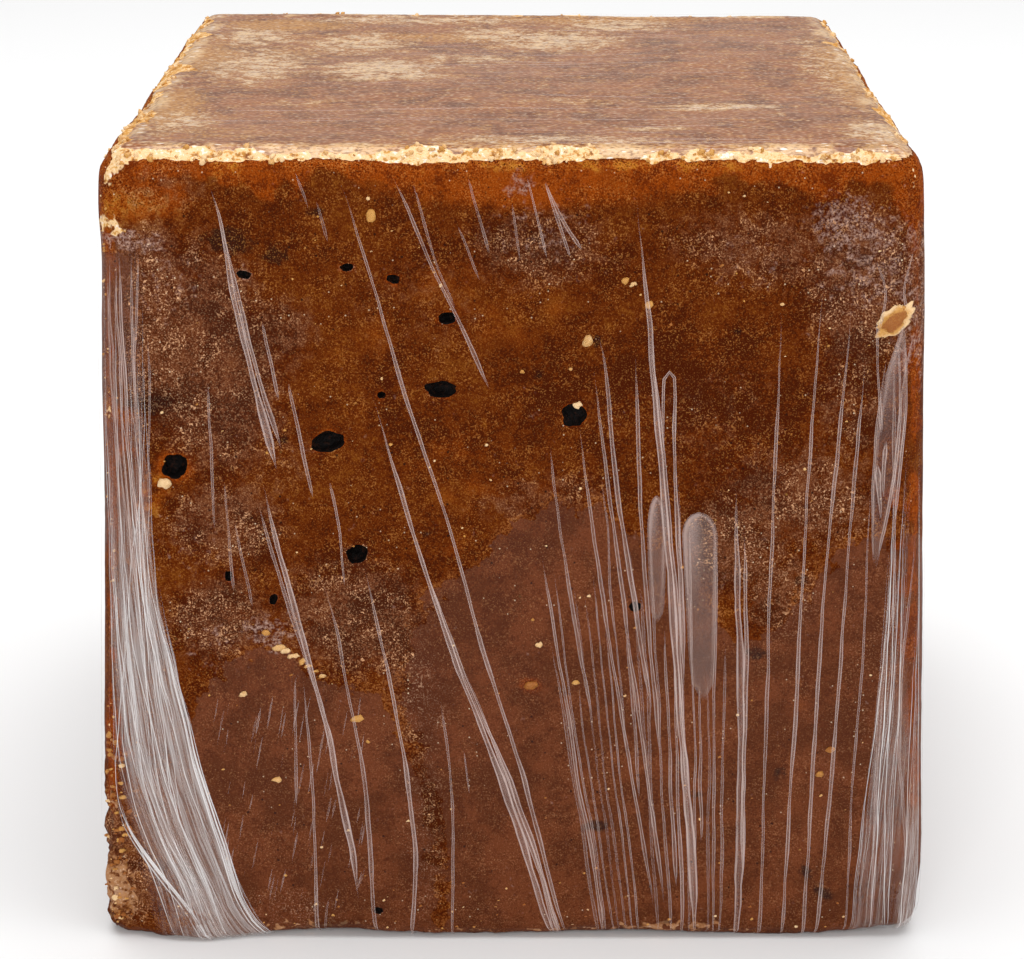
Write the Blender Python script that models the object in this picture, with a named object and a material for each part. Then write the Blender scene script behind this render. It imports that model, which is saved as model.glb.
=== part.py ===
"""A one kilogram block of jaggery, drawn tight in clear film.

Block and film are one solid, out to the film. It is a cube with a mould's draft: wider at the foot
than on top, with worn, crumbling edges, burst air bubbles in its front and two low bands where the
film is gathered. Metres, +Z up, origin at the centre of the foot.
"""

import math

import bpy
from mathutils import Matrix, Vector, noise

MM = 0.001

# Driving dimensions
TOP_SIDE = 85.4 * MM
FOOT_SIDE = 93.8 * MM
HEIGHT = 90.4 * MM

# Edge rounding, at the top, half-way up and at the foot
RADIUS_TOP = 2.6 * MM
RADIUS_MIDDLE = 3.4 * MM
RADIUS_FOOT = 1.3 * MM

# Grid: spans across a face between its rounded edges, and across each rounding
FACE_SPANS = 20
EDGE_SPANS = 3

# Unevenness of the cast surface: a belly half-way up, then swells and worn edges, with how high
# each is and how far from crest to crest
BELLY = 0.45 * MM
SWELL_HEIGHT, SWELL_LENGTH = 0.4 * MM, 26.0 * MM
WEAR_DEPTH, WEAR_LENGTH = 1.2 * MM, 7.5 * MM

# A lip on the left, round the top: how far it stands out and how far down it reaches
LIP_OUT, LIP_DROP, LIP_FADE = 0.5 * MM, 9.0 * MM, 2.0 * MM

# The foot's front edge lifts off the table in low arches: how high, how far apart, where the middle
# of one lies, how far back they reach, and how far up, as a share of the block's height
ARCH_LIFT, ARCH_LENGTH, ARCH_MIDDLE, ARCH_REACH = 0.6 * MM, 33.0 * MM, 13.0 * MM, 5.0 * MM
ARCH_RISE = 0.08
LIFT_PLAY = 0.05 * MM

# How square to the front, and to the table, a surface must face to count as lying on it
FRONT_SHARE, FLAT_SHARE = 0.7, 0.99

# Worn corners at the foot, in front: the side, how far each reaches, how deep it goes, and how far
# its underside lifts
CORNERS = {
    "left": {"side": -1, "reach": 9.0 * MM, "depth": 0.4 * MM, "lift": 0.0 * MM},
    "right": {"side": 1, "reach": 11.0 * MM, "depth": 1.2 * MM, "lift": 1.1 * MM},
}

# Film gathers on the front, each at the top and at the foot: distance from the middle as a share of
# the half side, half width, and how far it stands proud
GATHERS = {
    "left": {"top": (-0.95, 2.4 * MM, 0.5 * MM), "foot": (-0.74, 6.2 * MM, 1.3 * MM)},
    "right": {"top": (0.90, 2.6 * MM, 0.5 * MM), "foot": (0.90, 3.4 * MM, 0.7 * MM)},
}
GATHER_BEND = 0.6
GATHER_EDGE = 0.4
GATHER_START, GATHER_FULL = 1.0, 0.8

# Burst bubbles in the front: across, up, width, height and slope in degrees
BUBBLES = {
    "wide": (-19.7, 59.1, 3.8, 2.2, 14.0),
    "middle": (-7.6, 64.8, 3.8, 2.2, 4.0),
    "low": (-16.8, 46.5, 2.8, 2.2, 25.0),
    "edge": (-36.3, 56.3, 2.8, 3.0, -40.0),
    "crumb": (6.5, 62.0, 2.9, 2.8, 0.0),
    "high": (-6.9, 72.5, 2.2, 1.6, 10.0),
    "corner": (-29.6, 81.0, 4.2, 2.2, -8.0),
    "upper": (-12.5, 76.7, 1.8, 1.3, 0.0),
    "left": (-28.1, 77.1, 2.0, 1.2, 0.0),
}
BUBBLE_DEPTH = 1.7 * MM

BROWN = (0.115, 0.032, 0.009, 1.0)


def lerp(a, b, share):
    return a + (b - a) * share


def smooth(low, high, value):
    """0 at low, 1 at high, and a soft step between, whichever of the two is larger."""
    share = min(1.0, max(0.0, (value - low) / (high - low)))
    return share * share * (3 - 2 * share)


def clear_scene():
    for item in list(bpy.data.objects):
        bpy.data.objects.remove(item, do_unlink=True)


def edge_radius(up):
    """Rounding at a height, given as a share of the block's height."""
    if up > 0.5:
        return lerp(RADIUS_MIDDLE, RADIUS_TOP, smooth(0.5, 1.0, up))
    return lerp(RADIUS_FOOT, RADIUS_MIDDLE, smooth(0.0, 0.5, up))


def stations(half):
    """Grid lines from -half to half, close together where the edges are rounded."""
    flat = half - RADIUS_MIDDLE
    inner = [flat * (2 * i / FACE_SPANS - 1) for i in range(FACE_SPANS + 1)]
    outer = [flat + RADIUS_MIDDLE * i / EDGE_SPANS for i in range(1, EDGE_SPANS + 1)]
    return [-o for o in reversed(outer)] + inner + outer


def gather_relief(across, up):
    """How far the film's gathered bands stand proud of the front."""
    relief = 0.0
    for band in GATHERS.values():
        place, half, proud = (lerp(foot, top, up) for foot, top in zip(band["foot"], band["top"]))
        place = lerp(band["foot"][0], band["top"][0], up ** GATHER_BEND)
        aside = abs(across - place * lerp(FOOT_SIDE, TOP_SIDE, up) / 2) / half
        relief += proud * smooth(1.0, GATHER_EDGE, aside) * smooth(GATHER_START, GATHER_FULL, up)
    return relief


def corner_nearness(point):
    """How near a point, measured from the middle of the block, is to each worn corner: 1 is at it."""
    nearness = {}
    for name, corner in CORNERS.items():
        tip = Vector((corner["side"] * FOOT_SIDE / 2, -FOOT_SIDE / 2, -HEIGHT / 2))
        nearness[name] = smooth(corner["reach"], 0.0, (point - tip).length)
    return nearness


def block_point(x, y, z):
    """Where a point of the plain box, centred on the origin, lies on the worn, drafted block."""
    half = TOP_SIDE / 2
    up = z / HEIGHT + 0.5
    radius = edge_radius(up)
    box = Vector((x, y, z))
    limits = (half - radius, half - radius, HEIGHT / 2 - radius)
    core = Vector([max(-limit, min(limit, value)) for limit, value in zip(limits, box)])
    outward = (box - core).normalized()
    edge = min(1.0, (1 - max(abs(value) for value in outward)) / (1 - math.sqrt(0.5)))

    point = core + outward * radius
    flare = lerp(FOOT_SIDE / TOP_SIDE, 1.0, up)
    point.x *= flare
    point.y *= flare

    relief = SWELL_HEIGHT * noise.noise(point / SWELL_LENGTH)
    relief -= WEAR_DEPTH * edge * abs(noise.noise(point / WEAR_LENGTH))
    relief += BELLY * 4 * up * (1 - up)
    lip = smooth(HEIGHT / 2 - LIP_DROP - LIP_FADE, HEIGHT / 2 - LIP_DROP, z)
    relief += LIP_OUT * lip * max(0.0, -outward.x)
    nearness = corner_nearness(point)
    relief -= sum(corner["depth"] * nearness[name] for name, corner in CORNERS.items())
    if outward.y < -FRONT_SHARE:
        relief += gather_relief(point.x, up)
    point += outward * relief

    point.z = 0.0 if outward.z < -FLAT_SHARE else max(0.0, point.z + HEIGHT / 2)
    point.z += sum(corner["lift"] * nearness[name] for name, corner in CORNERS.items())
    reach = smooth(-FOOT_SIDE / 2 + ARCH_REACH, -FOOT_SIDE / 2, point.y) * smooth(ARCH_RISE, 0.0, up)
    arch = 0.5 + 0.5 * math.cos(math.tau * (point.x - ARCH_MIDDLE) / ARCH_LENGTH)
    point.z += ARCH_LIFT * reach * arch
    if point.z < LIFT_PLAY:
        point.z = 0.0
    return point


def block_mesh():
    """A box of grid lines on all six sides, each point moved to its place on the block."""
    lines = [stations(TOP_SIDE / 2), stations(TOP_SIDE / 2), stations(HEIGHT / 2)]
    last = FACE_SPANS + 2 * EDGE_SPANS
    points, numbers = [], {}

    def number(key):
        if key not in numbers:
            numbers[key] = len(points)
            points.append(block_point(*(lines[axis][key[axis]] for axis in range(3))))
        return numbers[key]

    faces = []
    for axis in range(3):
        first, second = (axis + 1) % 3, (axis + 2) % 3
        for side in (0, last):
            for i in range(last):
                for j in range(last):
                    corners = []
                    for a, b in ((i, j), (i + 1, j), (i + 1, j + 1), (i, j + 1)):
                        key = [0, 0, 0]
                        key[axis], key[first], key[second] = side, a, b
                        corners.append(number(tuple(key)))
                    faces.append(corners if side else corners[::-1])

    low = Vector([min(p[axis] for p in points) for axis in range(2)])
    high = Vector([max(p[axis] for p in points) for axis in range(2)])
    middle = ((low + high) / 2).to_3d()
    mesh = bpy.data.meshes.new("jaggery_block")
    mesh.from_pydata([p - middle for p in points], [], faces)
    mesh.update()
    return mesh


def front_at(up):
    """How far forward the front stands at a height."""
    return -lerp(FOOT_SIDE, TOP_SIDE, up / HEIGHT) / 2


def bubble_cutter(name, across, up, width, height, slope):
    """An egg-shaped hollow, half sunk in the front."""
    bpy.ops.mesh.primitive_ico_sphere_add(subdivisions=2, radius=0.5)
    cutter = bpy.context.object
    cutter.name = "bubble_" + name
    size = Matrix.Diagonal((width * MM, 2 * BUBBLE_DEPTH, height * MM, 1.0))
    turn = Matrix.Rotation(-math.radians(slope), 4, "Y")
    cutter.data.transform(turn @ size)
    cutter.location = (across * MM, front_at(up * MM), up * MM)
    cutter.hide_render = True
    cutter.display_type = "WIRE"
    return cutter


def jaggery_material():
    material = bpy.data.materials.new("jaggery")
    material.use_nodes = True
    shader = material.node_tree.nodes["Principled BSDF"]
    shader.inputs["Base Color"].default_value = BROWN
    shader.inputs["Roughness"].default_value = 0.42
    shader.inputs["Metallic"].default_value = 0.0
    shader.inputs["Coat Weight"].default_value = 0.5
    return material


def build():
    clear_scene()
    block = bpy.data.objects.new("jaggery_block", block_mesh())
    bpy.context.scene.collection.objects.link(block)
    block.data.materials.append(jaggery_material())
    block.data.shade_smooth()
    block.data.set_sharp_from_angle(angle=math.radians(40))
    for name, values in BUBBLES.items():
        cut = block.modifiers.new("bubble_" + name, "BOOLEAN")
        cut.operation = "DIFFERENCE"
        cut.solver = "EXACT"
        cut.object = bubble_cutter(name, *values)


build()
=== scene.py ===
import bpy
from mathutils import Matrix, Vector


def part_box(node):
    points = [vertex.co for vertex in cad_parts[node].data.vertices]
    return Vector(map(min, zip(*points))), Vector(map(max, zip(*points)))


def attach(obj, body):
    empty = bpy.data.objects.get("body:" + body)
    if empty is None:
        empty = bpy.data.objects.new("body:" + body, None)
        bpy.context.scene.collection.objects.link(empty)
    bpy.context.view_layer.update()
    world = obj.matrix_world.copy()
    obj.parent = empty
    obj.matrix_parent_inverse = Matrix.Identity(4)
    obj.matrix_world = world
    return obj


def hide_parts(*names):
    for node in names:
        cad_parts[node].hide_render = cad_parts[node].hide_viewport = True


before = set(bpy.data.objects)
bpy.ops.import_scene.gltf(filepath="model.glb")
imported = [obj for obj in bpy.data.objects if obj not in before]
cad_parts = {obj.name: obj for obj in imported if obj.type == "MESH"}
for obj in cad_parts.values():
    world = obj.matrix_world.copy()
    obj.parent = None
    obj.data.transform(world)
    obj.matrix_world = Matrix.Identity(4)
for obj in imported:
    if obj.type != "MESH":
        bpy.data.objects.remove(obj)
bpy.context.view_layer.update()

import math
import random

import bmesh
import bpy
import numpy as np
from mathutils import Matrix, Vector, noise

# A jaggery block in tight clear film. Lengths are in millimetres until they reach a mesh.
mm = 0.001
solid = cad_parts["jaggery_block"]
lowCorner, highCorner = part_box("jaggery_block")
blockHeight = (highCorner[2] - lowCorner[2]) / mm
footHalf = (highCorner[0] - lowCorner[0]) / 2 / mm
topHalf = footHalf - 4.3


# Helpers that build node trees, for shapes and for materials

def feed(socket, value):
    if isinstance(value, bpy.types.NodeSocket):
        socket.id_data.links.new(value, socket)
    elif value is not None:
        socket.default_value = value


def addNode(tree, kind, inputs=None, **settings):
    made = tree.nodes.new(kind)
    for name, value in settings.items():
        setattr(made, name, value)
    for key, value in (inputs or {}).items():
        feed(made.inputs[key], value)
    return made


def treeOf(*values):
    # the tree that is being built: the one that holds a socket among the values
    return next(value.id_data for value in values if isinstance(value, bpy.types.NodeSocket))


def maths(operation, a, b=None, clamp=False):
    made = addNode(treeOf(a, b), "ShaderNodeMath", {0: a, 1: b}, operation=operation, use_clamp=clamp)
    return made.outputs[0]


def times(a, b):
    return maths("MULTIPLY", a, b)


def plus(a, b):
    return maths("ADD", a, b)


def less(a, b):
    return maths("SUBTRACT", a, b)


def vectorMaths(operation, a, b=None, factor=None):
    made = addNode(treeOf(a, b), "ShaderNodeVectorMath", {0: a, 1: b, 3: factor}, operation=operation)
    return made.outputs[1 if operation == "DISTANCE" else 0]


def scaled(vector, factor):
    return vectorMaths("SCALE", vector, factor=factor)


def ramp(value, start, end, low=0.0, high=1.0, soft=True):
    # low at start, high at end, whichever of the two is larger
    kind = "SMOOTHSTEP" if soft else "LINEAR"
    made = addNode(value.id_data, "ShaderNodeMapRange", {0: value, 1: start, 2: end, 3: low, 4: high},
                   interpolation_type=kind)
    return made.outputs[0]


def blendColour(share, first, second):
    tree = treeOf(share, first, second)
    return addNode(tree, "ShaderNodeMix", {0: share, 6: first, 7: second}, data_type="RGBA").outputs[2]


def noiseAt(place, size, detail=2.0, roughness=0.5):
    made = addNode(place.id_data, "ShaderNodeTexNoise", {
        "Vector": place, "Scale": 1.0 / size, "Detail": detail, "Roughness": roughness})
    return made.outputs[0]


def split(vector):
    return addNode(vector.id_data, "ShaderNodeSeparateXYZ", {0: vector}).outputs


def join(tree, x, y, z):
    return addNode(tree, "ShaderNodeCombineXYZ", {0: x, 1: y, 2: z}).outputs[0]


def newGroup(name, kind, inputs, outputs):
    # a node group with named sockets, and its two end nodes
    tree = bpy.data.node_groups.new(name, kind)
    for label, (socketKind, value) in inputs.items():
        socket = tree.interface.new_socket(label, in_out="INPUT", socket_type="NodeSocket" + socketKind)
        if value is not None:
            socket.default_value = value
    for label, socketKind in outputs.items():
        tree.interface.new_socket(label, in_out="OUTPUT", socket_type="NodeSocket" + socketKind)
    return tree, tree.nodes.new("NodeGroupInput").outputs, tree.nodes.new("NodeGroupOutput").inputs


def newObject(name, data):
    made = bpy.data.objects.new(name, data)
    bpy.context.scene.collection.objects.link(made)
    return made


def grow(name, tree, values, start=None):
    # runs a geometry tree on a start mesh and keeps what it makes as a plain mesh object
    source = newObject(name + "Source", start or bpy.data.meshes.new(name + "Start"))
    modifier = source.modifiers.new("grow", "NODES")
    modifier.node_group = tree
    for socket in tree.interface.items_tree:
        if socket.in_out == "INPUT" and socket.name in values:
            modifier[socket.identifier] = values[socket.name]
    depsgraph = bpy.context.evaluated_depsgraph_get()
    made = source.evaluated_get(depsgraph)
    mesh = bpy.data.meshes.new_from_object(made, preserve_all_data_layers=True, depsgraph=depsgraph)
    bpy.data.objects.remove(source)
    mesh.name = name
    used = [material for material in mesh.materials if material]
    mesh.materials.clear()
    for material in used:
        mesh.materials.append(material)
    mesh.polygons.foreach_set("material_index", [0] * len(mesh.polygons))
    return newObject(name, mesh)


def finishTree(tree, geometry, material, out):
    # every tree ends the same way: real meshes, shaded smooth, with their material
    real = addNode(tree, "GeometryNodeRealizeInstances", {0: geometry}).outputs[0]
    smooth = addNode(tree, "GeometryNodeSetShadeSmooth", {"Geometry": real}).outputs[0]
    done = addNode(tree, "GeometryNodeSetMaterial", {"Geometry": smooth, "Material": material}).outputs[0]
    tree.links.new(done, out["Geometry"])


def moved(tree, geometry, offset):
    return addNode(tree, "GeometryNodeSetPosition", {"Geometry": geometry, "Offset": offset}).outputs[0]


def placedAt(tree, geometry, position):
    return addNode(tree, "GeometryNodeSetPosition", {"Geometry": geometry, "Position": position}).outputs[0]


def instanced(tree, points, piece, size, turn=None):
    return addNode(tree, "GeometryNodeInstanceOnPoints", {
        "Points": points, "Instance": piece, "Scale": size, "Rotation": turn}).outputs[0]


def objectGeometry(tree, given):
    return addNode(tree, "GeometryNodeObjectInfo", {"Object": given}).outputs["Geometry"]


def ownPlace(tree):
    return addNode(tree, "GeometryNodeInputPosition").outputs[0]


def nearestOn(tree, geometry, place):
    return addNode(tree, "GeometryNodeProximity", {0: geometry, 2: place},
                   target_element="FACES").outputs["Position"]


def facingOf(tree, geometry, place):
    # the direction that the nearest face looks in
    normal = addNode(tree, "GeometryNodeInputNormal").outputs[0]
    return addNode(tree, "GeometryNodeSampleNearestSurface", {0: geometry, 1: normal, 3: place},
                   data_type="FLOAT_VECTOR").outputs[0]


def storeField(tree, geometry, name, value, kind="FLOAT", domain="POINT"):
    return addNode(tree, "GeometryNodeStoreNamedAttribute", {
        "Geometry": geometry, "Name": name, "Value": value}, data_type=kind, domain=domain).outputs[0]


def readField(tree, name, kind="FLOAT"):
    return addNode(tree, "GeometryNodeInputNamedAttribute", {"Name": name}, data_type=kind).outputs[0]


# The food's skin: a fine box of faces cast outwards onto the solid, smoothed, then roughened inwards
skin = {"spans": 164, "round": 3.4, "inset": 0.10, "smoothing": 6, "lumps": 0.22, "pebbles": 0.08,
        "crumbs": 0.75, "keep": 168000}
wrap = {"spans": 90, "inset": 0.0, "smoothing": 5}


def skinTree():
    tree, given, out = newGroup("blockSkin", "GeometryNodeTree", {
        "Solid": ("Object", None), "Spans": ("Int", 200), "Round": ("Float", 3.4 * mm),
        "Inset": ("Float", 0.3 * mm), "Smoothing": ("Int", 12), "Lumps": ("Float", 0.0),
        "Pebbles": ("Float", 0.0), "Crumbs": ("Float", 0.0), "Material": ("Material", None)},
        {"Geometry": "Geometry"})
    half, tall = topHalf * mm, blockHeight * mm
    box = addNode(tree, "GeometryNodeMeshCube", {
        "Size": (2 * half, 2 * half, tall), "Vertices X": given["Spans"], "Vertices Y": given["Spans"],
        "Vertices Z": given["Spans"]}).outputs[0]
    place = ownPlace(tree)

    # from a rounded core, straight out at each point
    corner = join(tree, half, half, tall / 2)
    limit = vectorMaths("SUBTRACT", corner, join(tree, *[given["Round"]] * 3))
    core = vectorMaths("MINIMUM", vectorMaths("MAXIMUM", place, scaled(limit,
                       -1.0)), limit)
    outward = vectorMaths("NORMALIZE", vectorMaths("SUBTRACT", place, core))
    up = maths("DIVIDE", split(place)[2], tall)
    flare = ramp(up, -0.5, 0.5, footHalf / topHalf, 1.0, soft=False)
    start = vectorMaths("ADD", vectorMaths("MULTIPLY", core, join(tree, flare, flare, 1.0)),
                        (0.0, 0.0, tall / 2))
    target = objectGeometry(tree, given["Solid"])
    cast = addNode(tree, "GeometryNodeRaycast", {
        "Target Geometry": target, "Source Position": start, "Ray Direction": outward, "Ray Length": 0.05})

    # how far along the face the nearest edge is: the middle one of the three distances, in mm
    gaps = split(vectorMaths("SUBTRACT", corner, vectorMaths("ABSOLUTE", place)))
    least = maths("MINIMUM", maths("MINIMUM", gaps[0], gaps[1]), gaps[2])
    most = maths("MAXIMUM", maths("MAXIMUM", gaps[0], gaps[1]), gaps[2])
    total = plus(plus(gaps[0], gaps[1]), gaps[2])
    middle = less(total, plus(least, most))
    box = storeField(tree, box, "edgeGap", maths("DIVIDE", middle, mm))
    box = storeField(tree, box, "outward", outward, "FLOAT_VECTOR")
    box = storeField(tree, box, "reach", cast.outputs["Hit Distance"])
    for _ in range(3):
        # narrow hollows are bridged, as tight film does
        blurred = addNode(tree, "GeometryNodeBlurAttribute", {0: readField(tree, "reach"), "Iterations": 14},
                          data_type="FLOAT").outputs[0]
        box = storeField(tree, box, "reach", maths("MAXIMUM", readField(tree, "reach"), blurred))
    inset = times(given["Inset"], ramp(split(outward)[2], -0.9, -0.4))
    reach = less(readField(tree, "reach"), inset)
    placed = vectorMaths("ADD", start, scaled(outward, reach))
    box = placedAt(tree, box, placed)
    smoothed = addNode(tree, "GeometryNodeBlurAttribute", {0: place, "Iterations": given["Smoothing"]},
                       data_type="FLOAT_VECTOR").outputs[0]
    above = ramp(split(place)[2], 1.0 * mm, 6.0 * mm)
    shift = scaled(vectorMaths("SUBTRACT", smoothed, place), above)
    box = moved(tree, box, shift)

    # roughness: broad lumps, pebbles, and crumbling along the edges and at one low corner
    inMm = scaled(place, 1 / mm)
    gap = readField(tree, "edgeGap")
    heights = split(inMm)
    nearTop = ramp(heights[2], blockHeight - 14, blockHeight - 4, 0.25, 0.5)
    rim = times(ramp(gap, 3.4, 0.4), nearTop)
    toCorner = vectorMaths("DISTANCE", vectorMaths("MULTIPLY", inMm, (1.0, 1.0, 0.62)),
                           (-footHalf, -footHalf, 6.5))
    crumble = maths("MAXIMUM", rim, ramp(toCorner, 10.5, 4.0))
    lumps = times(noiseAt(inMm, 7.0, 2.0), given["Lumps"])
    pebbles = times(noiseAt(inMm, 1.1, 2.0), given["Pebbles"])
    coarse = ramp(noiseAt(inMm, 2.3, 4.0, 0.62), 0.36, 0.66)
    crumbs = times(times(coarse, given["Crumbs"]), crumble)
    depth = plus(times(plus(lumps, pebbles),
                  ramp(heights[2], 0.3, 4.0)), crumbs)
    inwards = scaled(readField(tree, "outward", "FLOAT_VECTOR"),
                          times(depth, -1.0))
    box = moved(tree, box, inwards)
    finishTree(tree, box, given["Material"], out)
    return tree


# What the block's faces show, each face seen from outside: across from its middle, up from the table.
# First the outlines of where the film clings to the mass
clingOutlines = {
    "dome": [(-12.6, 29), (-11, 36), (-9, 41.2), (-3.6, 45.8), (1, 50.2), (5.1, 52), (8.6, 51.4),
             (11.5, 49.2), (15, 47), (18.4, 46), (20.6, 41), (23, 37), (27, 36.5), (31, 39.5), (33, 44),
             (36.5, 47.5), (48, 49), (48, -3), (-7.5, -3), (-7.2, 12.5), (-9.8, 22)],
    "leftDome": [(-36.5, 27), (-31.5, 33.4), (-27.6, 35.3), (-23.3, 33.2), (-19, 30.8), (-14.6, 29.8),
                 (-11.4, 22), (-9.2, 13.7), (-8.6, -3), (-31, -3), (-37, 10), (-39, 20)],
    "leftStrip": [(-43.6, 79.5), (-40.2, 79.5), (-40.0, 66), (-40.0, 46), (-44.2, 46), (-44.2, 66)],
}
# then soft marks: across, up, half width, half height, slope in degrees, strength
faceMarks = {
    "airy": [(-32, 68, 10, 17, 8, 1.0), (-38, 72, 6, 16, 0, 1.0), (-24, 71, 5, 6, 0, 0.7),
             (-27, 57, 8, 8, 0, 0.5), (-31, 50, 9, 7, 0, 0.8), (37, 76, 9, 11, 0, 1.0),
             (26, 80, 14, 6, -6, 0.7), (3, 80, 11, 6, 0, 0.7), (24, 48, 8, 8, 0, 0.9),
             (-13, 37, 5, 9, 15, 0.9), (-32, 39, 7, 7, 0, 0.9), (12, 32, 8, 8, 0, 0.25),
             (35, 22, 4, 5, 0, 0.5), (-20, 42, 9, 7, 0, 0.5), (22, 61, 12, 12, 0, 0.4),
             (-10, 74, 12, 9, 0, 0.35), (40, 30, 5, 30, 0, 0.4), (18, 20, 3, 5, 0, 0.5),
             (-36, 86, 8, 4, 0, 0.5), (-25, 3, 9, 5, 0, 0.7), (-17, 39, 11, 9, 0, 0.9),
             (-10, 30, 5, 10, 0, 0.8), (3, 53, 11, 3.5, 10, 0.6), (31, 53, 12, 8, 0, 0.8),
             (36, 64, 6, 12, 0, 0.6), (29, 42, 6, 7, 0, 0.8), (-10, 14, 4, 18, 0, 0.7),
             (-44, 9, 7, 11, 0, 0.9)],
    "haze": [(38, 79, 8, 8, 0, 0.75), (34.5, 82.5, 5, 4.5, 0, 1.0), (42, 72, 3, 9, 0, 0.8),
             (3, 82, 8, 4.5, 0, 0.5), (0.5, 86.5, 2.5, 1.8, 0, 0.8), (-26.8, 37.4, 3.8, 2.6, -20, 1.0),
             (-40, 80.8, 5, 1.7, 0, 1.0), (-33, 36, 5, 4, 0, 0.45), (-35, 48, 5, 6, 0, 0.3),
             (-36, 76, 5, 5, 0, 0.45), (26, 45, 6, 5, 0, 0.2), (24, 79, 7, 4, 0, 0.35)],
    "stain": [(-29.6, 80.6, 3.6, 2.0, -8, 1.0), (-24.8, 79.2, 2.0, 1.4, 0, 0.9),
              (-38.6, 63.4, 4.2, 1.7, 0, 0.9), (9.4, 14.2, 2.4, 1.0, 5, 0.9),
              (26.6, 35, 1.9, 1.0, 0, 0.9), (35.2, 5.8, 1.8, 0.9, -20, 1.0),
              (33, 8.4, 1.6, 0.8, -60, 0.8), (20.4, 18, 1.2, 0.9, 0, 0.7), (29.6, 20.6, 1.3, 1.1, 0, 0.7),
              (31.2, 43.6, 1.2, 0.9, 0, 0.8), (8.9, 70.1, 0.8, 1.2, 0, 1.0),
              (2.7, 66.4, 1.0, 0.7, 0, 0.7), (23.6, 71.0, 0.8, 0.5, 0, 0.9),
              (-24.4, 59.4, 0.9, 0.8, 0, 0.8), (-9.5, 48.6, 1.6, 0.8, 20, 0.5), (-31, 41.5, 4, 3, 0, 0.4),
              (-20.4, 83.8, 1.4, 1.0, 0, 0.7)],
    "amber": [(2, 86.5, 22, 3.4, 0, 0.9), (-38, 85.5, 7, 4.5, 0, 0.8), (-5, 56, 9, 9, 20, 0.4),
              (-5.6, 48, 5.5, 1.8, 38, 0.4), (3.9, 54.2, 5, 1.6, 8, 0.35), (-14.2, 35, 1.7, 5, -14, 0.3),
              (-11.3, 24, 1.2, 7.5, -18, 0.4), (-9.2, 8, 1.0, 11, -3, 0.3), (-30.6, 39.5, 2.3, 1.5, 10, 0.7),
              (25, 37.5, 2.4, 4.5, 0, 0.3), (29.5, 41.5, 3.4, 2.2, 10, 0.3), (-2, 74, 16, 8, 0, 0.4),
              (-43.5, 60, 2.0, 22, 0, 0.7), (-42, 62, 3.5, 2.0, 0, 0.9),
              (-36, 56.5, 3, 2.6, 0, 0.9), (1.9, 31.2, 2.0, 1.6, 0, 1.0), (-17, 68, 8, 14, 0, 0.35),
              (32, 30, 2.2, 4, 0, 0.4), (14, 12, 4, 9, 0, 0.25), (46.2, 42, 1.3, 40, 0, 1.0)],
    # the golden marks place a painted glow of light through the amber edges
    "golden": [(-46.6, 50, 2.6, 42, 0, 1.0), (-42, 62.5, 3.5, 2.6, 0, 0.9), (-38.5, 53, 3, 4, 0, 0.7),
               (-40, 84, 8, 3.5, 0, 0.7), (-29.8, 88.4, 2.4, 1.4, 0, 1.0), (46.6, 30, 1.0, 26, 0, 1.0),
               (47, 66, 1.2, 16, 0, 0.8), (10, 88.6, 30, 0.9, 0, 0.8), (-44, 8, 6, 9, 0, 0.7)],
    "deep": [(22, 66, 20, 13, -8, 0.9), (10, 68, 9, 8, 0, 0.5), (-29, 60, 6, 5, 0, 0.6),
             (-14, 62, 7, 5, 0, 0.4), (-24, 47, 6, 7, 0, 0.5), (30, 60, 8, 8, 0, 0.3),
             (-37, 62, 6, 4, 0, 0.6), (-30, 81, 5, 4, 0, 0.6), (0, 60, 9, 5, 0, 0.3),
             (-9, 15, 3, 10, 0, 0.3)],
    "crust": [(18, 1.6, 10, 1.7, 0, 0.5), (-22, 1.5, 10, 1.8, 0, 0.45), (-4, 0.8, 12, 1.0, 0, 0.4),
              (-46.5, 16, 3.0, 8, 0, 0.65), (-45, 6, 3.5, 6, 0, 0.6), (-47, 23, 2.5, 5, 0, 0.6),
              (12, 0.9, 30, 0.8, 0, 0.45), (-43, 82.5, 4, 1.6, -10, 0.7), (-44, 62, 2.4, 1.2, 0, 0.7),
              (-46.5, 45, 0.9, 30, 0, 0.5), (-46.9, 72, 0.8, 9, 0, 0.6)],
}
# the same on the top, looked down on with the front nearest
topMarks = {
    "honey": [(-30, 32, 13, 6, 0, 1.0), (-38, 10, 6, 16, 0, 0.9), (-38, -20, 5, 16, 0, 1.0),
              (-10, 24, 12, 5, 0, 0.8), (10, 37, 26, 5, 0, 0.8), (-28, 14, 8, 4, 0, 0.7),
              (39, 0, 3.5, 34, 0, 0.9), (0, -39, 40, 3, 0, 0.5), (28, 26, 8, 5, 0, 0.5),
              (12, 12, 8, 3, 0, 0.4), (-30, -34, 9, 5, 0, 0.6)],
    "bloom": [(-16, 3, 9, 7, 0, 1.0), (-14, -3, 9, 3, 5, 0.9), (-20, 20, 9, 9, 0, 0.8),
              (-3, 26, 7, 7, 0, 0.8), (5, 22, 11, 9, 0, 0.9), (13, 33, 10, 6, 0, 0.8),
              (-31, 5, 8, 15, 0, 0.8), (-33, 24, 7, 8, 0, 0.8), (-6, 9, 10, 5, 0, 0.6),
              (4, -37, 17, 3, 0, 0.7), (23, -20, 8, 2.6, 0, 0.9), (15, -31.5, 4, 1.6, 0, 0.8),
              (37, 5, 3.5, 30, 0, 0.5), (-24, -17, 5, 3, 0, 0.4), (-12, 36, 20, 4, 0, 0.7),
              (6, -17, 9, 2, 0, 0.4), (-36, -28, 5, 9, 0, 0.7), (38, -33, 4, 8, 0, 0.8)],
}
# the wet corner at the upper left, sparkling with painted highlights, as a mark like those above
wetCorner = (-44, 86.5, 5, 4, 0, 1.3)
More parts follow.
